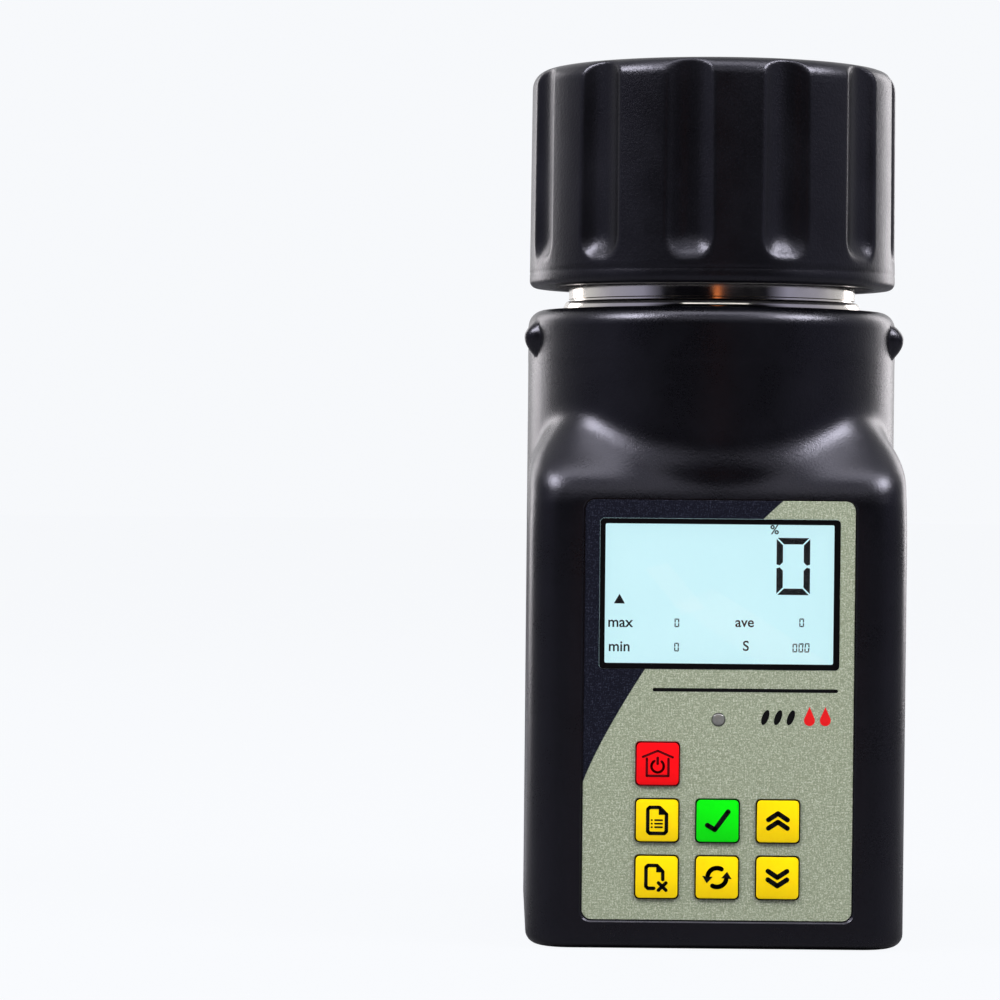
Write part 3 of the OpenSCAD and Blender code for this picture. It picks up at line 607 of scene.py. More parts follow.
def boxReach(angle, wide, deep, corner):
    ux, uy = abs(math.cos(angle)), abs(math.sin(angle))
    flat = min(wide / max(ux, 1e-9), deep / max(uy, 1e-9))
    px, py = wide - corner, deep - corner
    along = px * ux + py * uy
    inside = along * along - px * px - py * py + corner * corner
    if inside < 0:
        return flat
    arcHit = along + math.sqrt(inside)
    if arcHit * ux >= px and arcHit * uy >= py:
        return arcHit
    return flat


def shoulderDepth(z):
    size = caseSize
    turn = math.radians(90 - size["slope"])
    tangent = size["edge"] * math.tan(turn / 2)
    low = size["faceTop"] - tangent
    slope = math.radians(size["slope"])
    high = size["faceTop"] + tangent * math.sin(slope)
    if z <= low:
        return size["halfDeep"]
    if z < high:
        return size["halfDeep"] - size["edge"] + math.sqrt(max(0, size["edge"] ** 2 - (z - low) ** 2))
    return size["halfDeep"] - (z - size["faceTop"]) / math.tan(slope)


def shoulderWidth(z):
    size = caseSize
    start = size["blockTop"] - size["topCorner"]
    if z <= start:
        return size["halfWide"]
    lift = min(z - start, size["topCorner"])
    return size["halfWide"] - size["topCorner"] + math.sqrt(size["topCorner"] ** 2 - lift ** 2)


def casePlace(angle, level):
    size = caseSize
    z, inset, neckRadius = level
    if z < size["faceTop"] - 10:
        reach = boxReach(angle, size["halfWide"] - inset, size["halfDeep"] - inset, size["corner"] - inset)
    elif z < size["blockTop"] - 0.2:
        wide, deep = shoulderWidth(z), shoulderDepth(z)
        corner = min(size["corner"], wide - 0.5, deep - 0.5)
        facing = easeIn(abs(math.sin(angle)), size["creaseFrom"], size["creaseTo"])
        width = max(0.01, size["crease"] * facing * easeIn(z, size["creaseFoot"], size["creaseFull"]))
        reach = -softMin(-boxReach(angle, wide, deep, corner), -min(neckRadius, size["neck"]), width)
    else:
        reach = neckRadius
    if neckRadius > size["neck"] - size["neckEdge"]:
        reach += lugRise(angle, z)
    return Vector((math.cos(angle) * reach, math.sin(angle) * reach, z)) * mm


# a strap lug: a round button with a tail that runs out into the neck below it
def lugRise(angle, z):
    size = caseSize
    rise = 0.0
    for side in (-1, 1):
        off = (angle + math.pi / 2 - math.radians(side * size["lugTurn"]) + math.pi) % (2 * math.pi) - math.pi
        lift = z - size["lugZ"]
        tall = size["lugUp"] if lift > 0 else size["lugDown"]
        half = size["lugHalf"] * (1 - 0.12 * max(0.0, -lift) / size["lugDown"])
        far = math.sqrt((off * size["neck"] / max(half, 0.3)) ** 2 + (lift / tall) ** 2)
        dome = max(0.0, 1 - far ** 2) ** 1.15 if far < 1 else 0.0
        rise = max(rise, size["lugHigh"] * dome)
    return rise


def caseAngles():
    size = caseSize
    angles = evenAngles(size["segments"])
    for side in (-1, 1):
        middle = (side * size["lugTurn"] - 90) % 360
        angles += [math.radians(middle + 0.26 * step + 0.05) for step in range(-21, 22)]
    return sorted(angles)


def caseLevels():
    size = caseSize
    levels = [(0.0, size["foot"] + 0.0, 0.0)]
    for step in range(1, 8):
        turn = math.radians(90 * step / 7)
        levels.append((size["foot"] * (1 - math.cos(turn)), size["foot"] * (1 - math.sin(turn)), 0.0))
    z = 5.0
    while z < 96:
        levels.append((z, 0.0, 0.0))
        z += 3.5
    while z < 128:
        levels.append((z, 0.0, size["neck"]))
        z += 0.7
    while z < size["neckTop"] - size["neckEdge"] - 0.2:
        levels.append((z, 0.0, size["neck"]))
        z += 1.6 if z < 132 else 0.45
    for step in range(9):
        turn = math.radians(90 * step / 8)
        levels.append((size["neckTop"] - size["neckEdge"] * (1 - math.sin(turn)), 0.0,
                       size["neck"] - size["neckEdge"] * (1 - math.cos(turn))))
    for radius in (38.0, 36.0, size["hole"]):
        levels.append((size["neckTop"], 0.0, radius))
    return levels


def caseSkin():
    size = caseSize
    bm = bmesh.new()
    rows = loft(bm, caseAngles(), caseLevels(), casePlace)
    bm.faces.new(reversed(rows[0]))
    for step in range(size["blendTimes"]):      # the blend's lower edge climbs, so that it leaves no line
        low = size["blendFrom"] - size["blendFeather"] * (1 - step / size["blendTimes"])
        soft = [v for v in bm.verts if low * mm < v.co.z < size["blendTo"] * mm]
        bmesh.ops.smooth_vert(bm, verts=soft, factor=0.5, use_axis_x=True, use_axis_y=True, use_axis_z=True)
    bmesh.ops.recalc_face_normals(bm, faces=bm.faces)
    return bm


def bakeModifiers(piece):
    bpy.context.view_layer.update()
    graph = bpy.context.evaluated_depsgraph_get()
    mesh = bpy.data.meshes.new_from_object(piece.evaluated_get(graph))
    piece.modifiers.clear()
    piece.data = mesh


# one half of the case with its wall: side is -1 for the front and 1 for the rear
def caseHalf(name, side):
    size = caseSize
    bm = caseSkin()
    line = side * size["splitGap"] * mm
    bmesh.ops.bisect_plane(bm, geom=bm.verts[:] + bm.edges[:] + bm.faces[:], dist=1e-7,
                           plane_co=(0, line, 0), plane_no=(0, -side, 0), clear_outer=True)
    half = looseObject(name, bm)
    thick = half.modifiers.new("wall", "SOLIDIFY")
    thick.thickness = size["wall"] * mm
    thick.offset = -1
    thick.use_even_offset = False
    bakeModifiers(half)
    bm = bmesh.new()
    bm.from_mesh(half.data)
    onLine = [e for e in bm.edges if all(abs(v.co.y - line) < 1e-6 for v in e.verts)]
    rims = [e for e in onLine if e.calc_face_angle(0) > 1]
    bmesh.ops.bevel(bm, geom=rims, offset=0.2 * mm, segments=2, profile=0.5, affect="EDGES", material=-1,
                    clamp_overlap=True)
    for vert in bm.verts:
        vert.co.z = max(vert.co.z, 0.0)
    bm.to_mesh(half.data)
    bm.free()
    return half


# a band inside the parting line, so that no light comes between the halves
def partingTongue():
    size = caseSize
    bm = caseSkin()
    for spot, facing in (((0, -size["tongue"] * mm, 0), (0, -1, 0)), ((0, size["tongue"] * mm, 0), (0, 1, 0)),
                         ((0, 0, size["tongueTop"] * mm), (0, 0, 1))):
        bmesh.ops.bisect_plane(bm, geom=bm.verts[:] + bm.edges[:] + bm.faces[:], dist=1e-7,
                               plane_co=spot, plane_no=facing, clear_outer=True)
    bm.normal_update()
    for vert in bm.verts:
        vert.co -= vert.normal * (size["wall"] - 0.1) * mm
    bmesh.ops.solidify(bm, geom=bm.faces[:], thickness=0.5 * mm)
    bmesh.ops.recalc_face_normals(bm, faces=bm.faces)
    finishMesh("partingTongue", bm, casePlastic, "case", sharp=30)


panel = {
    "faceY": -46.0, "labelWide": 61.8, "labelHigh": 95.9, "labelFoot": 6.5, "labelCorner": 2.5, "recess": 0.8,
    "windowWide": 54.5, "windowHigh": 34.2, "windowFoot": 63.75, "keyWide": 9.7, "keyStep": 13.7,
    "keyRise": 12.85, "keyFoot": 16.6, "keyGap": 0.24, "ledX": 0.0, "ledZ": 52.4,
}
keyNames = {"key_power": (-1, 2), "key_record": (-1, 1), "key_delete": (-1, 0), "key_ok": (0, 1),
            "key_cycle": (0, 0), "key_up": (1, 1), "key_down": (1, 0)}


def keyCentre(name):
    column, row = keyNames[name]
    return column * panel["keyStep"] * mm, (panel["keyFoot"] + row * panel["keyRise"]) * mm


def scaled(points):
    return [(x * mm, z * mm) for x, z in points]


def recessCutter():
    wide, high, flare = panel["labelWide"], panel["labelHigh"], 0.30
    middle = panel["labelFoot"] + high / 2
    edge, floor = (panel["faceY"] + flare) * mm, (panel["faceY"] + panel["recess"]) * mm
    bm = bmesh.new()
    plate(bm, scaled(roundedOutline(wide, high, panel["labelCorner"], 8, (0, middle))), edge, floor)
    front = min(bm.faces, key=lambda f: f.calc_center_median().y)
    for grow, step in ((flare, flare), (1.0, 1.0)):       # flares out to the face, then clears it
        made = bmesh.ops.extrude_face_region(bm, geom=[front])["geom"]
        bmesh.ops.delete(bm, geom=[front], context="FACES_ONLY")
        front = next(f for f in made if isinstance(f, bmesh.types.BMFace))
        ring = list(front.verts)
        bmesh.ops.scale(bm, verts=ring, vec=(1 + 2 * grow / wide, 1, 1 + 2 * grow / high),
                        space=Matrix.Translation((0, 0, -middle * mm)))
        bmesh.ops.translate(bm, verts=ring, vec=(0, -step * mm, 0))
    return looseObject("recessCutter", bm)


def openingCutters():
    bm = bmesh.new()
    near, far = (panel["faceY"] - 1) * mm, (panel["faceY"] + 4) * mm
    middle = panel["windowFoot"] + panel["windowHigh"] / 2
    window = roundedOutline(panel["windowWide"], panel["windowHigh"], 0.95, 6, (0, middle))
    plate(bm, scaled(window), near, far)
    for name in keyNames:
        x, z = keyCentre(name)
        wide = panel["keyWide"] + 2 * panel["keyGap"]
        plate(bm, [(x + px * mm, z + pz * mm) for px, pz in roundedOutline(wide, wide, 1.0)], near, far)
    rodAlongY(bm, panel["ledX"] * mm, panel["ledZ"] * mm, 1.6 * mm, near, far)
    return looseObject("openings", bm)


screwPlaces = [(x, z) for x in (-36.5, 36.5) for z in (8.5, 72.0)]
doorSize = {"halfWide": 30.2, "foot": 7.3, "top": 60.7, "gap": 0.3, "tabHalf": 6.0, "tabHigh": 3.3,
            "hingeY": 44.8, "hingeZ": 8.5, "thick": 2.4}


def rearCutters():
    size = doorSize
    bm = bmesh.new()
    wide = 2 * (size["halfWide"] + size["gap"])
    high = size["top"] - size["foot"] + 2 * size["gap"]
    centre = (0, (size["foot"] + size["top"]) / 2)
    plate(bm, scaled(roundedOutline(wide, high, 0.8, 4, centre)), 42 * mm, 48 * mm)
    opening = looseObject("doorOpening", bm)
    bm = bmesh.new()
    tab = roundedOutline(2 * size["tabHalf"] + 0.6, 2 * size["tabHigh"] + 0.6, 0.8, 4, (0, size["top"]))
    plate(bm, scaled(tab), 44.1 * mm, 48 * mm)
    notch = looseObject("tabNotch", bm)
    bm = bmesh.new()
    for x, z in screwPlaces:
        rodAlongY(bm, x * mm, z * mm, 3.2 * mm, 20 * mm, 48 * mm, 40)
    wells = looseObject("screwWells", bm)
    return [opening, notch, wells]


def screwTubes():
    bm = bmesh.new()
    for x, z in screwPlaces:
        rodAlongY(bm, x * mm, z * mm, 3.9 * mm, 0.2 * mm, 45.0 * mm, 40)
    tubes = looseObject("screwTubes", bm)
    bm = bmesh.new()
    for x, z in screwPlaces:
        rodAlongY(bm, x * mm, z * mm, 3.2 * mm, 8.0 * mm, 50 * mm, 40)
        rodAlongY(bm, x * mm, z * mm, 1.65 * mm, -1 * mm, 8.5 * mm, 24)
    return tubes, looseObject("screwBores", bm)


def finishHalf(half, name, material, node):
    half.data.materials.clear()
    half.data.materials.append(material)
    half.name = name
    half.data.shade_smooth()
    half.data.set_sharp_from_angle(angle=math.radians(30))
    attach(half, "case")
    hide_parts(node)


front = caseHalf("frontCase", -1)
cutWith(front, [recessCutter(), openingCutters()])
finishHalf(front, "frontCase", casePlastic, "front_shell")
rear = caseHalf("rearCase", 1)
tubes, bores = screwTubes()
cutWith(rear, [tubes], "UNION")
cutWith(rear, rearCutters() + [bores])
finishHalf(rear, "rearCase", casePlastic, "rear_shell")
partingTongue()
print("case made:", len(front.data.polygons), "and", len(rear.data.polygons), "faces")


# ---- cap

capSize = {
    "radius": 43.4, "draft": 0.3, "foot": 151.5, "top": 203.0, "edge": 4.2, "footEdge": 1.7, "bore": 38.2,
    "roof": 199.5, "button": 9.0, "guide": 13.0, "guideFoot": 195.3, "flutes": 12, "fluteTurn": -10.3,
    "fluteDepth": 2.35, "fluteRadius": 8.8, "fluteBall": 163.4, "fluteSquare": 2.7, "soft": 0.55,
    "segments": 576, "pillar": 3.2, "pillarHigh": 8.4, "pillarRing": 32, "pillarMiddle": 195.9,
    "seam": 154.9, "seamDeep": 0.06,
}


def fluteReach(angle, z):
    size = capSize
    step = 2 * math.pi / size["flutes"]
    turn = (angle + math.pi / 2 - math.radians(size["fluteTurn"]) + step / 2) % step - step / 2
    centre = size["radius"] - size["fluteDepth"] + size["fluteRadius"]
    below = max(0.0, size["fluteBall"] - z)
    square = size["fluteSquare"]
    span = (abs(centre * math.sin(turn)) ** square + below ** square) ** (1 / square)
    inside = size["fluteRadius"] ** 2 - span ** 2
    if inside <= 0:
        return centre * math.cos(turn) + (span - size["fluteRadius"]) * 3
    return centre * math.cos(turn) - math.sqrt(inside)


def capPlace(angle, level):
    size = capSize
    radius, z, fluted = level
    flute = fluteReach(angle, z) if fluted else radius + 3
    if flute < radius + 3:
        radius = softMin(radius, flute, size["soft"])
    return Vector((math.cos(angle) * radius, math.sin(angle) * radius, z)) * mm


def capLevels():
    size = capSize
    top, foot, r = size["top"], size["foot"], size["radius"]
    levels = [(size["button"], size["guideFoot"], False), (size["button"], top - 1.2, False)]
    levels += [(size["button"] + 0.8, top - 0.35, False), (size["button"] + 1.3, top, False)]
    levels += [(x, top, False) for x in (13.0, 20.0, 27.0, 33.0, 36.5)]
    upper = r - size["draft"]
    for i in range(13):
        turn = math.radians(90 - 90 * i / 12)
        levels.append((upper - size["edge"] + size["edge"] * math.cos(turn),
                       top - size["edge"] + size["edge"] * math.sin(turn), True))
    z = top - size["edge"] - 1.2
    while z > size["seam"] + 1.0:
        levels.append((r - size["draft"] * (z - foot) / (top - foot), z, True))
        z -= 0.9 if z < 166 else 2.0
    groove = [(0.45, 0), (0.22, 0.06), (0.12, size["seamDeep"])]
    for dz, deep in groove + [(-dz, deep) for dz, deep in reversed(groove)]:
        levels.append((r - deep, size["seam"] + dz, False))
    for i in range(7):
        turn = math.radians(90 * i / 6)
        levels.append((r - size["footEdge"] + size["footEdge"] * math.cos(turn),
                       foot + size["footEdge"] - size["footEdge"] * math.sin(turn), False))
    levels += [(size["bore"] + 0.5, foot, False), (size["bore"], foot + 0.5, False)]
    levels += [(size["bore"], z, False) for z in (165.0, 180.0, size["roof"] - 0.6)]
    levels += [(size["bore"] - 0.6, size["roof"], False), (size["guide"], size["roof"], False)]
    levels += [(size["guide"], size["guideFoot"] + 0.3, False)]
    levels += [(size["guide"] - 0.3, size["guideFoot"], False)]
    return levels


def capShell():
    bm = bmesh.new()
    loft(bm, evenAngles(capSize["segments"]), capLevels(), capPlace, closed=True)
    bmesh.ops.recalc_face_normals(bm, faces=bm.faces)
    cap = looseObject("capShell", bm)
    size = capSize
    radius, ring = size["pillar"] * mm, size["pillarRing"] * mm
    bm = bmesh.new()
    for i in range(3):
        made = bmesh.ops.create_cone(bm, cap_ends=True, segments=32, radius1=radius, radius2=radius,
                                     depth=size["pillarHigh"] * mm)["verts"]
        turn = math.radians(120 * i)
        place = (ring * math.cos(turn), ring * math.sin(turn), size["pillarMiddle"] * mm)
        bmesh.ops.translate(bm, verts=made, vec=place)
    cutWith(cap, [looseObject("pillars", bm)], "UNION")
    cap.data.materials.clear()
    cap.data.materials.append(capPlastic)
    cap.data.shade_smooth()
    cap.data.set_sharp_from_angle(angle=math.radians(38))
    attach(cap, "cap")
    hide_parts("cap_shell")


capShell()
print("cap made")


# ---- metal collar with its thread

collarSize = {
    "foot": 132.0, "under": 33.4, "seat": 146.2, "flange": 35.3, "flangeTop": 148.2, "out": 34.0,
    "inside": 31.4, "rim": 166.0, "threadFoot": 151.2, "threadTop": 163.4, "pitch": 4.5, "ridge": 0.32,
}


def collarPiece():
    s = {key: value * mm for key, value in collarSize.items()}
    bm = bmesh.new()
    lathe(bm, [
        (s["inside"], s["foot"]), (s["under"], s["foot"]), (s["under"], s["seat"] + 0.02 * mm),
        (s["flange"] - 0.2 * mm, s["seat"] + 0.02 * mm), (s["flange"], s["seat"] + 0.25 * mm),
        (s["flange"], s["seat"] + 0.75 * mm), (s["flange"] - 0.55 * mm, s["flangeTop"] - 0.1 * mm),
        (s["flange"] - 0.75 * mm, s["flangeTop"]),
        (s["out"] - 0.35 * mm, s["flangeTop"]), (s["out"] - 0.35 * mm, s["flangeTop"] + 0.45 * mm),
        (s["out"], s["flangeTop"] + 0.65 * mm), (s["out"], s["rim"] - 0.6 * mm),
        (s["out"] - 0.6 * mm, s["rim"]), (s["inside"] + 0.4 * mm, s["rim"]),
        (s["inside"], s["rim"] - 0.4 * mm),
    ], 192)
    collar = looseObject("threadedCollar", bm)
    bm = bmesh.new()
    turns = (collarSize["threadTop"] - collarSize["threadFoot"]) / collarSize["pitch"]
    inner, outer, half = s["out"] - 0.3 * mm, s["out"] + s["ridge"] - 0.17 * mm, 0.9 * mm
    points = [(inner, -half), (outer, -half * 0.35), (outer, half * 0.35), (inner, half)]
    verts = [bm.verts.new((r, 0, s["threadFoot"] + z)) for r, z in points]
    face = bm.faces.new(verts)
    bmesh.ops.spin(bm, geom=[face], cent=(0, 0, 0), axis=(0, 0, 1), angle=2 * math.pi * turns,
                   dvec=(0, 0, turns * s["pitch"] / (96 * turns)), steps=int(96 * turns), use_merge=False)
    cutWith(collar, [looseObject("thread", bm)], "UNION")
    collar.data.materials.clear()
    collar.data.materials.append(collarMetal)
    collar.data.shade_smooth()
    collar.data.set_sharp_from_angle(angle=math.radians(30))
    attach(collar, "case")
    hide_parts("threaded_collar")


collarPiece()
print("collar made")


# ---- label, display and lamp

def labelPiece():
    middle = panel["labelFoot"] + panel["labelHigh"] / 2
    near, far = (panel["faceY"] + 0.3) * mm, (panel["faceY"] + 0.8) * mm
    bm = bmesh.new()
    gap = 0.3
    plate(bm, scaled(roundedOutline(panel["labelWide"] - 2 * gap, panel["labelHigh"] - 2 * gap,
                                    panel["labelCorner"] - gap, 8, (0, middle))), near, far, 0.08 * mm, 1)
    label = looseObject("labelFilm", bm)
    cutWith(label, [openingCutters()])
    label.data.materials.clear()
    label.data.materials.append(labelFilm)
    label.data.shade_smooth()
    label.data.set_sharp_from_angle(angle=math.radians(30))
    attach(label, "case")
    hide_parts("label_overlay")


labelPiece()
screen = {
    "left": -26.0, "right": 25.8, "foot": 65.1, "top": 96.7,
    "smallDigits": [(0.318, 0.712), (0.861, 0.705), (0.318, 0.885), (0.834, 0.882), (0.860, 0.882),
                    (0.886, 0.882)],
    "words": [("max", 0.016, 0.745, 3.35), ("min", 0.020, 0.918, 3.35), ("ave", 0.572, 0.735, 3.2),
              ("S", 0.606, 0.905, 3.2), ("%", 0.720, 0.072, 2.9)],
}


def screenX(share):
    return (screen["left"] + share * (screen["right"] - screen["left"])) * mm


def screenZ(share):
    return (screen["top"] - share * (screen["top"] - screen["foot"])) * mm


def segmentDigit(bm, x, z, wide, high, thick, near, far):
    w, h, t = wide, high, thick
    gap = t * 0.16
    bars = []
    for sign in (-1, 1):                      # top and bottom bars
        edge = sign * h / 2
        inner = edge - sign * t
        bars.append([(-w / 2 + gap, edge), (w / 2 - gap, edge),
                     (w / 2 - t - gap, inner), (-w / 2 + t + gap, inner)])
    for side in (-1, 1):                      # the four uprights
        for sign in (-1, 1):
            edge, inner = side * w / 2, side * (w / 2 - t)
            bars.append([(edge, sign * (h / 2 - gap)), (edge, sign * (gap + t * 0.15)),
                         (edge - side * t * 0.5, sign * gap), (inner, sign * (t * 0.5 + gap)),
                         (inner, sign * (h / 2 - t - gap))])
    for bar in bars:
        corners = [(x + px, near, z + pz) for px, pz in bar]
        extrudePlate(bm, corners, far - near)


def words(text, x, z, size, near):
    curve = bpy.data.curves.new("word", "FONT")
    curve.body = text
    curve.size = size
    curve.extrude = 0.02 * mm
    curve.offset = 0.045 * mm
    holder = bpy.data.objects.new("word", curve)
    bpy.context.collection.objects.link(holder)
    bpy.context.view_layer.update()
    mesh = bpy.data.meshes.new_from_object(holder.evaluated_get(bpy.context.evaluated_depsgraph_get()))
    bpy.data.objects.remove(holder)
    mesh.transform(Matrix.Translation((x, near, z)) @ Matrix.Rotation(math.radians(90), 4, "X"))
    return mesh


def displayPieces():
    glassNear = (panel["faceY"] + 2.7) * mm      # front of the display glass
    middle = panel["windowFoot"] + panel["windowHigh"] / 2
    bm = bmesh.new()
    glass = roundedOutline(panel["windowWide"] + 2.2, panel["windowHigh"] + 2.2, 0.5, 4, (0, middle))
    plate(bm, scaled(glass), glassNear, glassNear + 2.6 * mm, 0.15 * mm, 1)
    finishMesh("displayGlass", bm, screenLit, "case", ["lcd_panel"])
    # a clear window, with its black border printed on the front
    bm = bmesh.new()
    near = (panel["faceY"] + 0.3) * mm
    pane = scaled(roundedOutline(panel["windowWide"] - 0.1, panel["windowHigh"] - 0.1, 0.9, 6, (0, middle)))
    plate(bm, pane, near, near + 1.5 * mm, 0.12 * mm, 2)
    finishMesh("displayWindow", bm, windowClear, "case", ["display_window"])
    bm = bmesh.new()
    back = near - 0.04 * mm
    plate(bm, pane, back, back + 0.06 * mm)
    border = looseObject("windowBorder", bm)
    bm = bmesh.new()
    wide, high = screen["right"] - screen["left"], screen["top"] - screen["foot"]
    centre = ((screen["right"] + screen["left"]) / 2, (screen["top"] + screen["foot"]) / 2)
    plate(bm, scaled(roundedOutline(wide, high, 0.35, 4, centre)), back - mm, back + mm)
    cutWith(border, [looseObject("borderHole", bm)])
    border.data.materials.clear()
    border.data.materials.append(frameBlack)
    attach(border, "case")
    # the segments stand on the glass
    bm = bmesh.new()
    face, proud = glassNear - 0.03 * mm, glassNear + 0.01 * mm
    segmentDigit(bm, screenX(0.822), screenZ(0.303), 7.6 * mm, 12.9 * mm, 1.45 * mm, face, proud)
    for share, drop in screen["smallDigits"]:
        segmentDigit(bm, screenX(share), screenZ(drop), 1.06 * mm, 1.95 * mm, 0.27 * mm, face, proud)
    corner = (screenX(0.066), screenZ(0.545))
    tri = [(-1.25, -1.05), (1.25, -1.05), (0.0, 1.15)]
    extrudePlate(bm, [(corner[0] + x * mm, face, corner[1] + z * mm) for x, z in tri], proud - face)
    bmesh.ops.recalc_face_normals(bm, faces=bm.faces)
    segments = finishMesh("displaySegments", bm, segmentBlack, "case", smooth=False)
    bm = bmesh.new()
    bm.from_mesh(segments.data)
    for text, share, drop, size in screen["words"]:
        bm.from_mesh(words(text, screenX(share), screenZ(drop), size * mm, face))
    bm.to_mesh(segments.data)
    bm.free()


displayPieces()


def lampPiece():
    x, z = panel["ledX"] * mm, panel["ledZ"] * mm
    near = (panel["faceY"] + 0.2) * mm
    bm = bmesh.new()
    rodAlongY(bm, x, z, 1.5 * mm, near, near + 5 * mm, 40)
    front = [e for e in bm.edges if all(abs(v.co.y - near) < 1e-6 for v in e.verts)]
    bmesh.ops.bevel(bm, geom=front, offset=0.5 * mm, segments=5, profile=0.5, affect="EDGES", material=-1)
    finishMesh("lampLens", bm, lensGrey, "case", ["indicator_led"], sharp=50)


lampPiece()


# plain marks in place of lettering: a rule and a row of seeds, with a drop
def labelMarks():
    near, far = (panel["faceY"] + 0.285) * mm, (panel["faceY"] + 0.31) * mm
    bm = bmesh.new()
    left, right, z = -14.6 * mm, 26.6 * mm, 59.1 * mm
    stroke(bm, [(left, z), (right, z)], 0.8 * mm, near, far)
    for i in range(3):
        x = 10.6 * mm + i * 2.9 * mm
        seed = [(x + (0.8 * math.cos(a) + 0.5 * math.sin(a)) * mm, near, (53.0 + 1.7 * math.sin(a)) * mm)
                for a in (2 * math.pi * k / 24 for k in range(24))]
        extrudePlate(bm, seed, far - near)
    bmesh.ops.recalc_face_normals(bm, faces=bm.faces)
    finishMesh("labelMarks", bm, printBlack, "case", smooth=False)
    bm = bmesh.new()
    for i in range(2):
        x, low = (20.6 + 3.6 * i) * mm, 52.4 * mm
        drop = [(x + 1.25 * mm * math.cos(math.radians(a)), low + 1.25 * mm * math.sin(math.radians(a)))
                for a in range(160, 381, 20)]
        drop.append((x, low + 3.1 * mm))
        extrudePlate(bm, [(px, near, pz) for px, pz in drop], far - near)
    bmesh.ops.recalc_face_normals(bm, faces=bm.faces)
    finishMesh("labelDrops", bm, printRed, "case", smooth=False)


labelMarks()
print("panel made")


# ---- keys and their signs

def turned(points, degrees):
    c, s = math.cos(math.radians(degrees)), math.sin(math.radians(degrees))
    return [(x * c - z * s, x * s + z * c) for x, z in points]


def sheetOutline(right, high, cut):
    left, soft = -right, 0.45
    side = [(left, high - soft), (left, soft - high), (left + soft, -high)]
    return [(soft, high), (left + soft, high)] + side + cut


# each sign is line work: points and a width, in millimetres from the key's middle
def signStrokes(name):
    if name == "key_power":
        ring = arc((0, -0.55), 1.40, 122, 410, 24)
        roof = [(-3.35, 1.55), (0, 2.95), (3.4, 1.50)]
        walls = [(-2.45, 1.15), (-2.45, -2.75), (2.45, -2.75), (2.45, 1.15)]
        return [(roof, 0.52), (walls, 0.55), (ring, 0.55), ([(0, 1.35), (0, 0.0)], 0.58)]
    if name == "key_record":
        page = sheetOutline(2.12, 2.95, [(1.67, -2.95), (2.12, -2.5), (2.12, 1.4), (0.55, 2.95)])
        rows = [([(-0.45, z), (1.15, z)], 0.40) for z in (0.05, -0.75, -1.55)]
        dots = [([(-1.25, z), (-1.15, z)], 0.42) for z in (0.05, -0.75, -1.55)]
        return [(page, 0.82)] + rows + dots
    if name == "key_delete":
        page = sheetOutline(1.95, 2.6, [(-0.15, -2.6)])
        page = [(x - 0.45, z) for x, z in page]
        side = [(0.1, 2.6), (1.42, 1.2), (1.42, -0.55)]
        cross = [([(0.45, -1.35), (2.15, -3.0)], 0.80), ([(2.15, -1.35), (0.45, -3.0)], 0.80)]
        return [(page, 0.82), (side, 0.82)] + cross
    if name == "key_ok":
        return [([(-2.3, -1.0), (-0.6, -2.0), (2.4, 2.1)], 1.12)]
    if name == "key_cycle":
        curve = arc((0, 0), 2.15, 62, 167, 15)
        return [(curve, 1.05), (turned(curve, 180), 1.05)]
    lift = 1 if name == "key_up" else -1
    return [([(-2.15, lift * z), (0, lift * (z + 1.42)), (2.15, lift * z)], 1.12) for z in (0.38, -1.55)]


def signPatches(name):
    if name == "key_record":
        return [[(0.35, 3.0), (0.35, 1.25), (2.2, 1.25)]]
    if name == "key_delete":
        return [[(-0.1, 2.6), (-0.1, 1.05), (1.5, 1.05)]]
    if name != "key_cycle":
        return []
    head = [(-3.35, 0.35), (-0.95, 0.15), (-2.3, -1.35)]
    return [head, turned(head, 180)]


# the rim entries size a dark ring of ink round each key: painted shade over the gap between the key and the
# label
keySize = {
    "corner": 1.05, "deep": 2.7, "soft": 0.18, "flange": 12, "flangeCorner": 0.95, "flangeNear": 2.65,
    "flangeFar": 3.4, "rim": 9.84, "gapShadeCorner": 1.1, "gapShadeWidth": 0.27, "gapShadeProud": 0.005, "gapShadeDeep": 0.12,
    "signProud": 0.02, "signDeep": 0.03,
}


def keyPiece(name, material, slot):
    x, z = keyCentre(name)
    size = keySize
    face, wide = panel["faceY"] * mm, panel["keyWide"]
    signFace = face - size["signProud"] * mm

    def placed(points):
        return [(x + px * mm, z + pz * mm) for px, pz in points]

    bm = bmesh.new()
    cap = roundedOutline(wide, wide, size["corner"], 8)
    plate(bm, placed(cap), face, face + size["deep"] * mm, size["soft"] * mm, 3)
    flange = roundedOutline(size["flange"], size["flange"], size["flangeCorner"], 4)
    plate(bm, placed(flange), face + size["flangeNear"] * mm, face + size["flangeFar"] * mm)
    finishMesh(name.replace("key_", "keyCap_"), bm, material, name, [name], sharp=40)
    # the key's printed sign, and a dark ring round the key that is painted shade over the gap between key and
    # label
    bm = bmesh.new()
    rim = roundedOutline(size["rim"], size["rim"], size["gapShadeCorner"], 6)
    stroke(bm, placed(rim), size["gapShadeWidth"] * mm, face - size["gapShadeProud"] * mm,
           face + size["gapShadeDeep"] * mm, closed=True)
    for points, width in signStrokes(name):
        stroke(bm, placed(points), width * mm, signFace, face + size["signDeep"] * mm)
    for patch in signPatches(name):
        extrudePlate(bm, [(px, signFace, pz) for px, pz in placed(patch)],
                     (size["signProud"] + size["signDeep"]) * mm)
    bmesh.ops.recalc_face_normals(bm, faces=bm.faces)
    # the sign's ink also colours the ring, which is painted shade and not print
    ink = printMaroon if name == "key_power" else printBlack
    finishMesh(name.replace("key_", "keySignAndGapShade_"), bm, ink, name, smooth=False)


keyPaints = {"key_power": (keyRed, "key_red"), "key_ok": (keyGreen, "key_green")}
for keyName in keyNames:
    keyPiece(keyName, *keyPaints.get(keyName, (keyYellow, "key_yellow")))
print("keys made")


# ---- sprung plate's spring

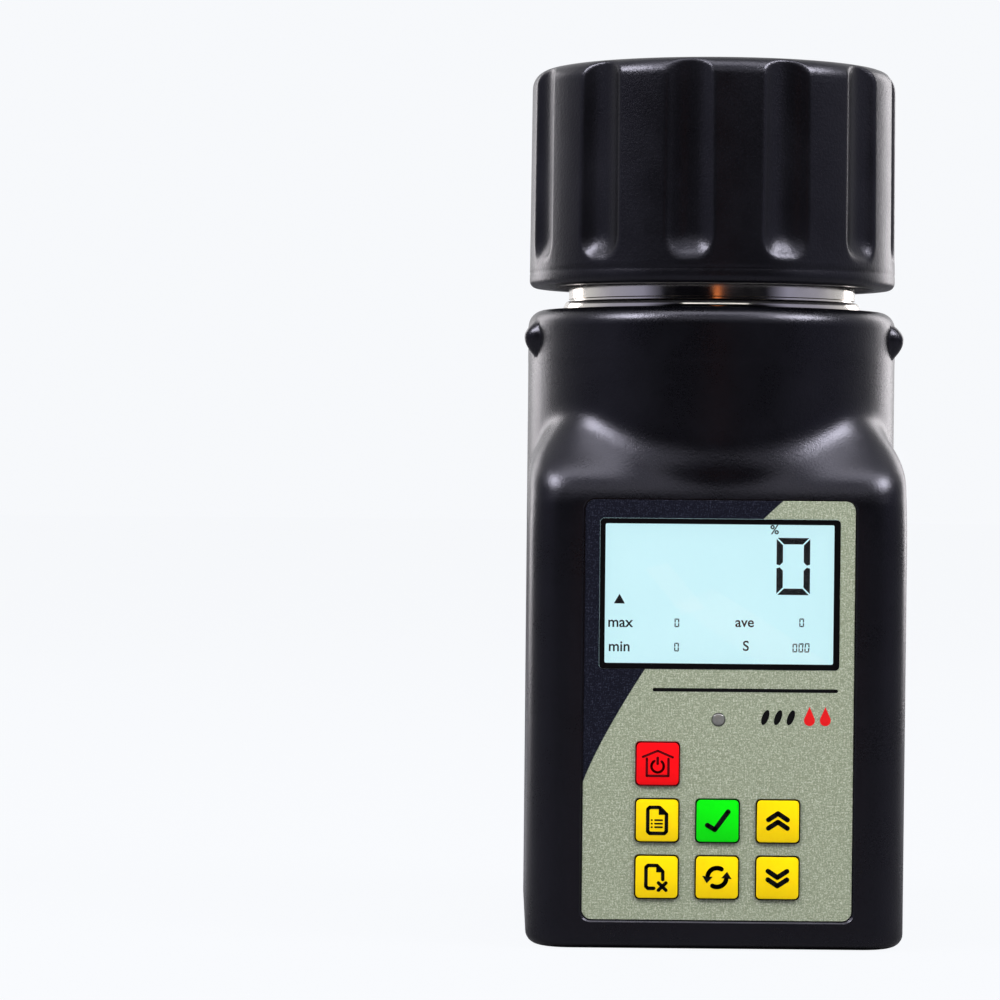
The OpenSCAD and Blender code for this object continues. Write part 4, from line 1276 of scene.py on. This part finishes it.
def springPiece():
    s = {"radius": 18 * mm, "wire": 1.1 * mm, "foot": 169.15 * mm, "top": 190.85 * mm, "turns": 5}
    bm = bmesh.new()
    made = bmesh.ops.create_circle(bm, segments=12, radius=s["wire"])["verts"]
    bmesh.ops.rotate(bm, verts=made, cent=(0, 0, 0), matrix=Matrix.Rotation(math.radians(90), 3, "X"))
    bmesh.ops.translate(bm, verts=made, vec=(s["radius"], 0, 0))
    steps = 40 * s["turns"]
    rows = [made]
    for i in range(steps):
        ring = set(rows[-1])
        edges = list(dict.fromkeys(e for v in rows[-1] for e in v.link_edges if e.other_vert(v) in ring))
        fresh = bmesh.ops.extrude_edge_only(bm, edges=edges)["geom"]
        verts = [v for v in fresh if isinstance(v, bmesh.types.BMVert)]
        bmesh.ops.rotate(bm, verts=verts, cent=(0, 0, 0), matrix=Matrix.Rotation(2 * math.pi / 40, 3, "Z"))
        rows.append(verts)
    for i, row in enumerate(rows):
        climb = max(0.0, min(1.0, (i / 40 - 0.75) / (s["turns"] - 1.5)))
        bmesh.ops.translate(bm, verts=row, vec=(0, 0, s["foot"] + climb * (s["top"] - s["foot"])))
    bmesh.ops.holes_fill(bm, edges=[e for e in bm.edges if e.is_boundary], sides=0)
    bmesh.ops.recalc_face_normals(bm, faces=bm.faces)
    coil = finishMesh("pressureCoil", bm, springSteel, "spring_seat", ["pressure_spring"],
                      sharp=60)
    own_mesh(coil)


springPiece()


# ---- battery door

def doorPiece():
    s = doorSize
    bm = bmesh.new()
    centre = (0, (s["hingeZ"] + s["top"]) / 2)
    outline = roundedOutline(2 * s["halfWide"], s["top"] - s["hingeZ"], 0.6, 4, centre)
    plate(bm, scaled(outline), 46.0 * mm, (46.0 - s["thick"]) * mm, 0.3 * mm, 2)
    door = looseObject("batteryDoor", bm)
    bm = bmesh.new()
    made = bmesh.ops.create_cone(bm, cap_ends=True, segments=32, radius1=1.2 * mm, radius2=1.2 * mm,
                                 depth=2 * s["halfWide"] * mm)["verts"]
    pins = bmesh.ops.create_cone(bm, cap_ends=True, segments=24, radius1=0.8 * mm, radius2=0.8 * mm,
                                 depth=(2 * s["halfWide"] + 2.6) * mm)["verts"]
    bmesh.ops.rotate(bm, verts=made + pins, cent=(0, 0, 0), matrix=Matrix.Rotation(math.radians(90), 3, "Y"))
    bmesh.ops.translate(bm, verts=made + pins, vec=(0, s["hingeY"] * mm, s["hingeZ"] * mm))
    barrel = looseObject("barrel", bm)
    bm = bmesh.new()
    tab = roundedOutline(2 * s["tabHalf"], 2 * s["tabHigh"], 0.8, 4, (0, s["top"]))
    plate(bm, scaled(tab), 45.6 * mm, 44.5 * mm, 0.2 * mm, 2)
    cutWith(door, [barrel, looseObject("tab", bm)], "UNION")
    bm = bmesh.new()
    for i in range(5):
        made = bmesh.ops.create_cone(bm, cap_ends=True, segments=20, radius1=0.75 * mm, radius2=0.75 * mm,
                                     depth=18 * mm)["verts"]
        bmesh.ops.rotate(bm, verts=made, cent=(0, 0, 0), matrix=Matrix.Rotation(math.radians(90), 3, "Y"))
        bmesh.ops.translate(bm, verts=made, vec=(0, 46.2 * mm, (s["top"] - 14 + 2.2 * i) * mm))
    cutWith(door, [looseObject("grips", bm)])
    door.data.materials.clear()
    door.data.materials.append(casePlastic)
    door.data.shade_smooth()
    door.data.set_sharp_from_angle(angle=math.radians(12))
    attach(door, "battery_door")
    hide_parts("battery_door")


doorPiece()
print("door made")


# ---- materials of the CAD nodes that stay

signalWire = wireCoat("signalWire", rgb(0.05, 0.09, 0.30), rgb(0.45, 0.03, 0.02), 6 * mm)
batteryWire = wireCoat("batteryWire", rgb(0.45, 0.02, 0.02), rgb(0.015, 0.015, 0.017), -18 * mm)
nodeLooks = {
    "collar_seal": rubberBlack, "collar_nut": zincSteel, "cup_sleeve": cupMetal, "cup_base": innerPlastic,
    "cup_studs": zincSteel, "centre_electrode": cupMetal, "electrode_nut": zincSteel,
    "temperature_probe": cupMetal, "sensor_board": boardGreen, "signal_leads": signalWire,
    "main_board": boardGreen, "board_screws": zincSteel, "lcd_backlight": lightGuide,
    "lcd_pins": contactMetal, "key_switches": componentBlack, "buzzer": componentBlack,
    "battery_tray": innerPlastic, "battery_contacts": springSteel, "battery_leads": batteryWire,
    "housing_screws": zincSteel, "door_pad": foam, "cap_insert": innerPlastic,
    "seat_retainer": innerPlastic, "retainer_screws": zincSteel, "spring_seat": zincSteel,
    "pressure_plate": cupMetal, "plunger_stem": cupMetal, "plate_screw": zincSteel,
    "stem_clip": springSteel, "pressure_indicator": indicatorRed,
}
for cell in ("battery_1", "battery_2", "battery_3", "battery_4"):
    nodeLooks[cell] = cellWrap(8.5 * mm, 50.5 * mm)
for nodeName, look in nodeLooks.items():
    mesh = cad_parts[nodeName].data
    mesh.materials.clear()
    mesh.materials.append(look)
print("CAD nodes dressed")
